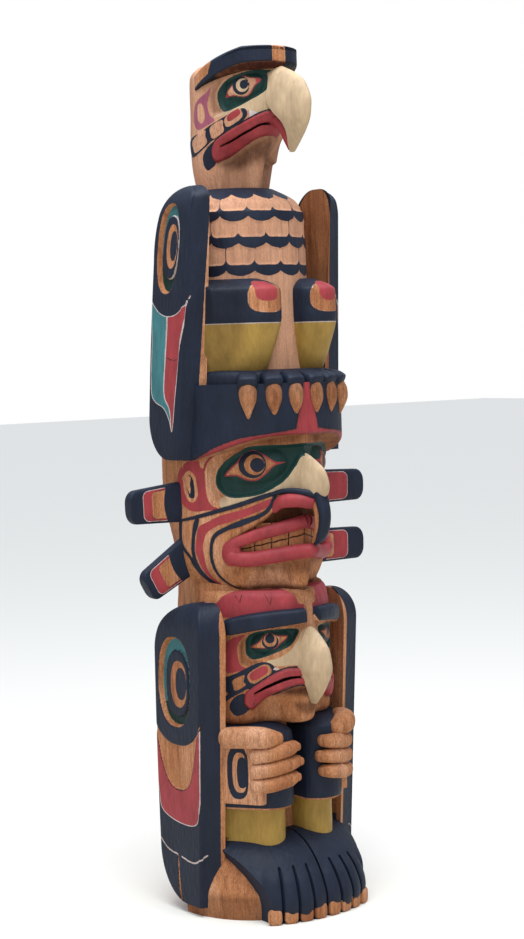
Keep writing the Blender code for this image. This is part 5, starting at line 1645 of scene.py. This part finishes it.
def set_stage():
    """Pale floor, a room that is brighter above, two soft lamps aimed at the pole, and the camera.

    The camera's axes are the bearing turned down by the pitch, then turned about the view by the roll.
    """
    scene = bpy.context.scene
    settings = scene.totem_stage
    floor_mesh = bpy.data.meshes.new("floor")
    floor_mesh.from_pydata([(-30, -30, 0), (30, -30, 0), (30, 30, 0), (-30, 30, 0)], [], [(0, 1, 2, 3)])
    floor = bpy.data.objects.new("floor", floor_mesh)
    scene.collection.objects.link(floor)
    pale = bpy.data.materials.new("pale floor")
    pale.use_nodes = True
    shader = pale.node_tree.nodes["Principled BSDF"]
    shader.inputs["Base Color"].default_value = tuple(settings.floor)
    shader.inputs["Roughness"].default_value = 0.9
    floor_mesh.materials.append(pale)
    world = bpy.data.worlds.new("soft room")
    world.use_nodes = True
    tree = world.node_tree
    shade = tree.nodes["Background"]
    facing = tree.nodes.new("ShaderNodeTexCoord").outputs["Generated"]
    split = node(tree, "ShaderNodeSeparateXYZ", values={0: facing})
    level = map_range(tree, split.outputs["Z"], -1.0, 1.0, 0.0, 1.0, "LINEAR")
    tint = colour_ramp(tree, level, (
        (0.0, (0.12, 0.12, 0.12, 1.0)), (0.48, (0.26, 0.26, 0.27, 1.0)),
        (0.66, (0.5, 0.53, 0.58, 1.0)), (1.0, (1.3, 1.45, 1.7, 1.0))))
    tree.links.new(tint, shade.inputs["Color"])
    shade.inputs["Strength"].default_value = settings.room_light
    white = node(tree, "ShaderNodeBackground", values={"Color": (1.0, 1.0, 1.0, 1.0), "Strength": 1.0})
    straight = tree.nodes.new("ShaderNodeLightPath").outputs["Is Camera Ray"]
    seen = node(tree, "ShaderNodeMixShader",
                values={0: straight, 1: shade.outputs[0], 2: white.outputs[0]})
    tree.links.new(seen.outputs[0], tree.nodes["World Output"].inputs["Surface"])
    scene.world = world
    lamps = (("sky panel", (-0.9, -1.3, 5.2), 3.6, settings.top_light, (0.86, 0.93, 1.0)),
             ("window", (-3.2, -3.6, 2.6), 2.2, settings.key_light, (1.0, 0.95, 0.9)))
    for name, place, size, power, colour in lamps:
        data = bpy.data.lights.new(name, "AREA")
        data.shape, data.size, data.energy, data.color = "DISK", size, power, colour
        lamp = bpy.data.objects.new(name, data)
        lamp.location = place
        lamp.rotation_euler = (Vector((0, 0, 1.1)) - Vector(place)).to_track_quat("-Z", "Y").to_euler()
        scene.collection.objects.link(lamp)
    camera_data = bpy.data.cameras.new("camera")
    camera = bpy.data.objects.new("camera", camera_data)
    scene.collection.objects.link(camera)
    bearing, pitch, roll = (math.radians(turn) for turn in PHOTO_TURN)
    ahead_level = Vector((math.sin(bearing), math.cos(bearing), 0))
    up = Vector((0, 0, 1))
    ahead = ahead_level * math.cos(pitch) - up * math.sin(pitch)
    rise = up * math.cos(pitch) + ahead_level * math.sin(pitch)
    right = Vector((math.cos(bearing), -math.sin(bearing), 0))
    across = right * math.cos(roll) + rise * math.sin(roll)
    upward = rise * math.cos(roll) - right * math.sin(roll)
    turned = Matrix((across, upward, -ahead)).transposed().to_4x4()
    turned.translation = Vector(PHOTO_PLACE)
    camera.matrix_world = turned
    camera_data.sensor_fit = "VERTICAL"
    camera_data.sensor_height = 36
    camera_data.lens = settings.lens
    camera_data.shift_x, camera_data.shift_y = (shift / PHOTO_HEIGHT for shift in PHOTO_SHIFT)
    scene.camera = camera
    scene.view_settings.view_transform = "Standard"


# The add-on

def colour_property(name, description, code):
    """A colour property whose default is the colour code in linear values."""
    return FloatVectorProperty(name=name, description=description, default=linear(code), size=4,
                               min=0.0, max=1.0, subtype="COLOR")


def size_property(name, description, size):
    """A size property in metres."""
    return FloatProperty(name=name, description=description, default=size, precision=4, unit="LENGTH")


class TotemPaints(bpy.types.PropertyGroup):
    """Colours of the wood and the paints"""

    heartwood: colour_property("Heartwood", "Darkest tone of the bare cedar", "945a39")
    cedar: colour_property("Cedar", "Middle tone of the bare cedar", "b17850")
    sapwood: colour_property("Sapwood", "Lightest tone of the bare cedar", "c99674")
    bleached: colour_property("Bleached wood", "Tone of the weathered cedar", "d3ab92")
    # This colour darkens the painted shade in hollows, under overhangs and along edges, and some weathering.
    shade_and_grime: colour_property("Grime", "Dirt in the hollows", "5e3f2e")
    pale: colour_property("Pale", "Thin pale lines beside the paints", "b3a7a2")
    cream: colour_property("Cream", "Beaks and the strips below the eyes", "b09676")
    gold: colour_property("Gold", "Shanks", "9a7a3a")
    rose: colour_property("Rose", "Loops on the eagle's cheeks", "8f4d5c")
    # In the wings' wells, teal is the painted lit upper part of the floor and green the painted shaded lower
    # part.
    teal: colour_property("Teal", "Wing strips and rings", "386a6d")
    green: colour_property("Green", "Eye sockets", "14302b")
    red: colour_property("Red", "Lips, cheeks and loops", "8f3437")
    navy: colour_property("Navy", "Brows, wings, knees and feet", "181e2c")
    dark: colour_property("Dark", "Mouths, seams and cracks", "1f110c")


class TotemCarving(bpy.types.PropertyGroup):
    """Sizes of the carver's marks and feathers"""

    adze_width: size_property("Adze width", "Width of one scallop on the log", 0.024)
    adze_length: size_property("Adze length", "Height of one row of scallops", 0.052)
    adze_depth: size_property("Adze depth", "Depth of the scallops", 0.0016)
    feather_width: size_property("Feather width", "Width of one feather on the chest", 0.0735)
    feather_rise: size_property("Feather rise", "Height of the arc of a feather's lower edge", 0.017)


class TotemStage(bpy.types.PropertyGroup):
    """Light, floor and lens"""

    floor: colour_property("Floor", "Colour of the floor", "e3dccf")
    room_light: FloatProperty(name="Room light", description="Strength of the light from all round",
                              default=1.06)
    top_light: FloatProperty(name="Top light", description="Power of the panel above", default=268.0,
                             unit="POWER")
    key_light: FloatProperty(name="Key light", description="Power of the soft light in front",
                             default=15.0, unit="POWER")
    lens: FloatProperty(name="Lens", description="Focal length in millimetres", default=72.69,
                        unit="CAMERA")


class TOTEM_OT_finishes(bpy.types.Operator):
    """Make the wood and paint finishes"""

    bl_idname = "totem.finishes"
    bl_label = "Make Finishes"

    def execute(self, context):
        """Materials have to be there before the pieces."""
        make_materials()
        return {"FINISHED"}


class TOTEM_OT_log(bpy.types.Operator):
    """Carve the log's core, flanks and back"""

    bl_idname = "totem.log"
    bl_label = "Carve Log"

    def execute(self, context):
        """The core, then the swells beside the feet."""
        log_core()
        base_blocks()
        return {"FINISHED"}


class TOTEM_OT_chest(bpy.types.Operator):
    """Carve the eagle's feathered chest"""

    bl_idname = "totem.chest"
    bl_label = "Carve Chest"

    def execute(self, context):
        """One piece."""
        chest()
        return {"FINISHED"}


class TOTEM_OT_wings(bpy.types.Operator):
    """Carve both pairs of wings"""

    bl_idname = "totem.wings"
    bl_label = "Carve Wings"

    def execute(self, context):
        """The upper pair, then the lower."""
        wings()
        return {"FINISHED"}


class TOTEM_OT_eagle(bpy.types.Operator):
    """Carve the eagle's head"""

    bl_idname = "totem.eagle"
    bl_label = "Carve Eagle Head"

    def execute(self, context):
        """Skull, brow, beak and its inner side."""
        eagle_skull()
        eagle_brow()
        eagle_beak()
        eagle_palate()
        return {"FINISHED"}


class TOTEM_OT_eagle_legs(bpy.types.Operator):
    """Carve the eagle's legs, feet and talons"""

    bl_idname = "totem.eagle_legs"
    bl_label = "Carve Eagle Legs"

    def execute(self, context):
        """Legs first, then feet and talons."""
        upper_legs()
        upper_feet()
        return {"FINISHED"}


class TOTEM_OT_middle(bpy.types.Operator):
    """Carve the middle face"""

    bl_idname = "totem.middle"
    bl_label = "Carve Middle Face"

    def execute(self, context):
        """Face, forehead, beak, its flap, lips and teeth."""
        middle_cheeks()
        middle_brow()
        middle_nose()
        middle_flap()
        middle_lips()
        middle_teeth()
        return {"FINISHED"}


class TOTEM_OT_rays(bpy.types.Operator):
    """Fit the four ray boards"""

    bl_idname = "totem.rays"
    bl_label = "Fit Ray Boards"

    def execute(self, context):
        """Four pieces, each in the place of its board from model.glb, which is hidden."""
        rays()
        return {"FINISHED"}


class TOTEM_OT_lower_head(bpy.types.Operator):
    """Carve the seated figure's head"""

    bl_idname = "totem.lower_head"
    bl_label = "Carve Lower Head"

    def execute(self, context):
        """Head, brows, beak and its inner side."""
        lower_head()
        lower_brows()
        lower_beak()
        lower_palate()
        return {"FINISHED"}


class TOTEM_OT_lower_body(bpy.types.Operator):
    """Carve the seated figure's legs, hands and feet"""

    bl_idname = "totem.lower_body"
    bl_label = "Carve Lower Body"

    def execute(self, context):
        """Legs, hands and feet with their toenails."""
        lower_legs()
        hands()
        lower_feet()
        return {"FINISHED"}


class TOTEM_OT_stage(bpy.types.Operator):
    """Set the floor, the lights and the camera"""

    bl_idname = "totem.stage"
    bl_label = "Set Stage"

    def execute(self, context):
        """The stage stands round the finished pole."""
        set_stage()
        return {"FINISHED"}


CARVERS = (TOTEM_OT_finishes, TOTEM_OT_log, TOTEM_OT_chest, TOTEM_OT_wings, TOTEM_OT_eagle,
           TOTEM_OT_eagle_legs, TOTEM_OT_middle, TOTEM_OT_rays, TOTEM_OT_lower_head,
           TOTEM_OT_lower_body)


class TOTEM_PT_panel(bpy.types.Panel):
    """Buttons for every step"""

    bl_label = "Totem Pole"
    bl_idname = "TOTEM_PT_panel"
    bl_space_type = "VIEW_3D"
    bl_region_type = "UI"
    bl_category = "Totem"

    def draw(self, context):
        """One button a step, in the order they are run."""
        for step in (*CARVERS, TOTEM_OT_stage):
            self.layout.operator(step.bl_idname)


CLASSES = (TotemPaints, TotemCarving, TotemStage, *CARVERS, TOTEM_OT_stage, TOTEM_PT_panel)


def register():
    """Make the classes and the scene's settings known."""
    for made in CLASSES:
        bpy.utils.register_class(made)
    bpy.types.Scene.totem_paints = PointerProperty(type=TotemPaints)
    bpy.types.Scene.totem_carving = PointerProperty(type=TotemCarving)
    bpy.types.Scene.totem_stage = PointerProperty(type=TotemStage)


def unregister():
    """Take the settings and the classes away again."""
    del bpy.types.Scene.totem_stage
    del bpy.types.Scene.totem_carving
    del bpy.types.Scene.totem_paints
    for made in reversed(CLASSES):
        bpy.utils.unregister_class(made)


def main():
    """Register, build every piece in order, hide the carved pole from model.glb and set the stage."""
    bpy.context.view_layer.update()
    register()
    bpy.ops.totem.finishes()
    bpy.ops.totem.log()
    bpy.ops.totem.chest()
    bpy.ops.totem.wings()
    bpy.ops.totem.eagle()
    bpy.ops.totem.eagle_legs()
    bpy.ops.totem.middle()
    bpy.ops.totem.rays()
    bpy.ops.totem.lower_head()
    bpy.ops.totem.lower_body()
    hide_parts("carved_pole")
    bpy.ops.totem.stage()


if __name__ == "__main__":
    main()
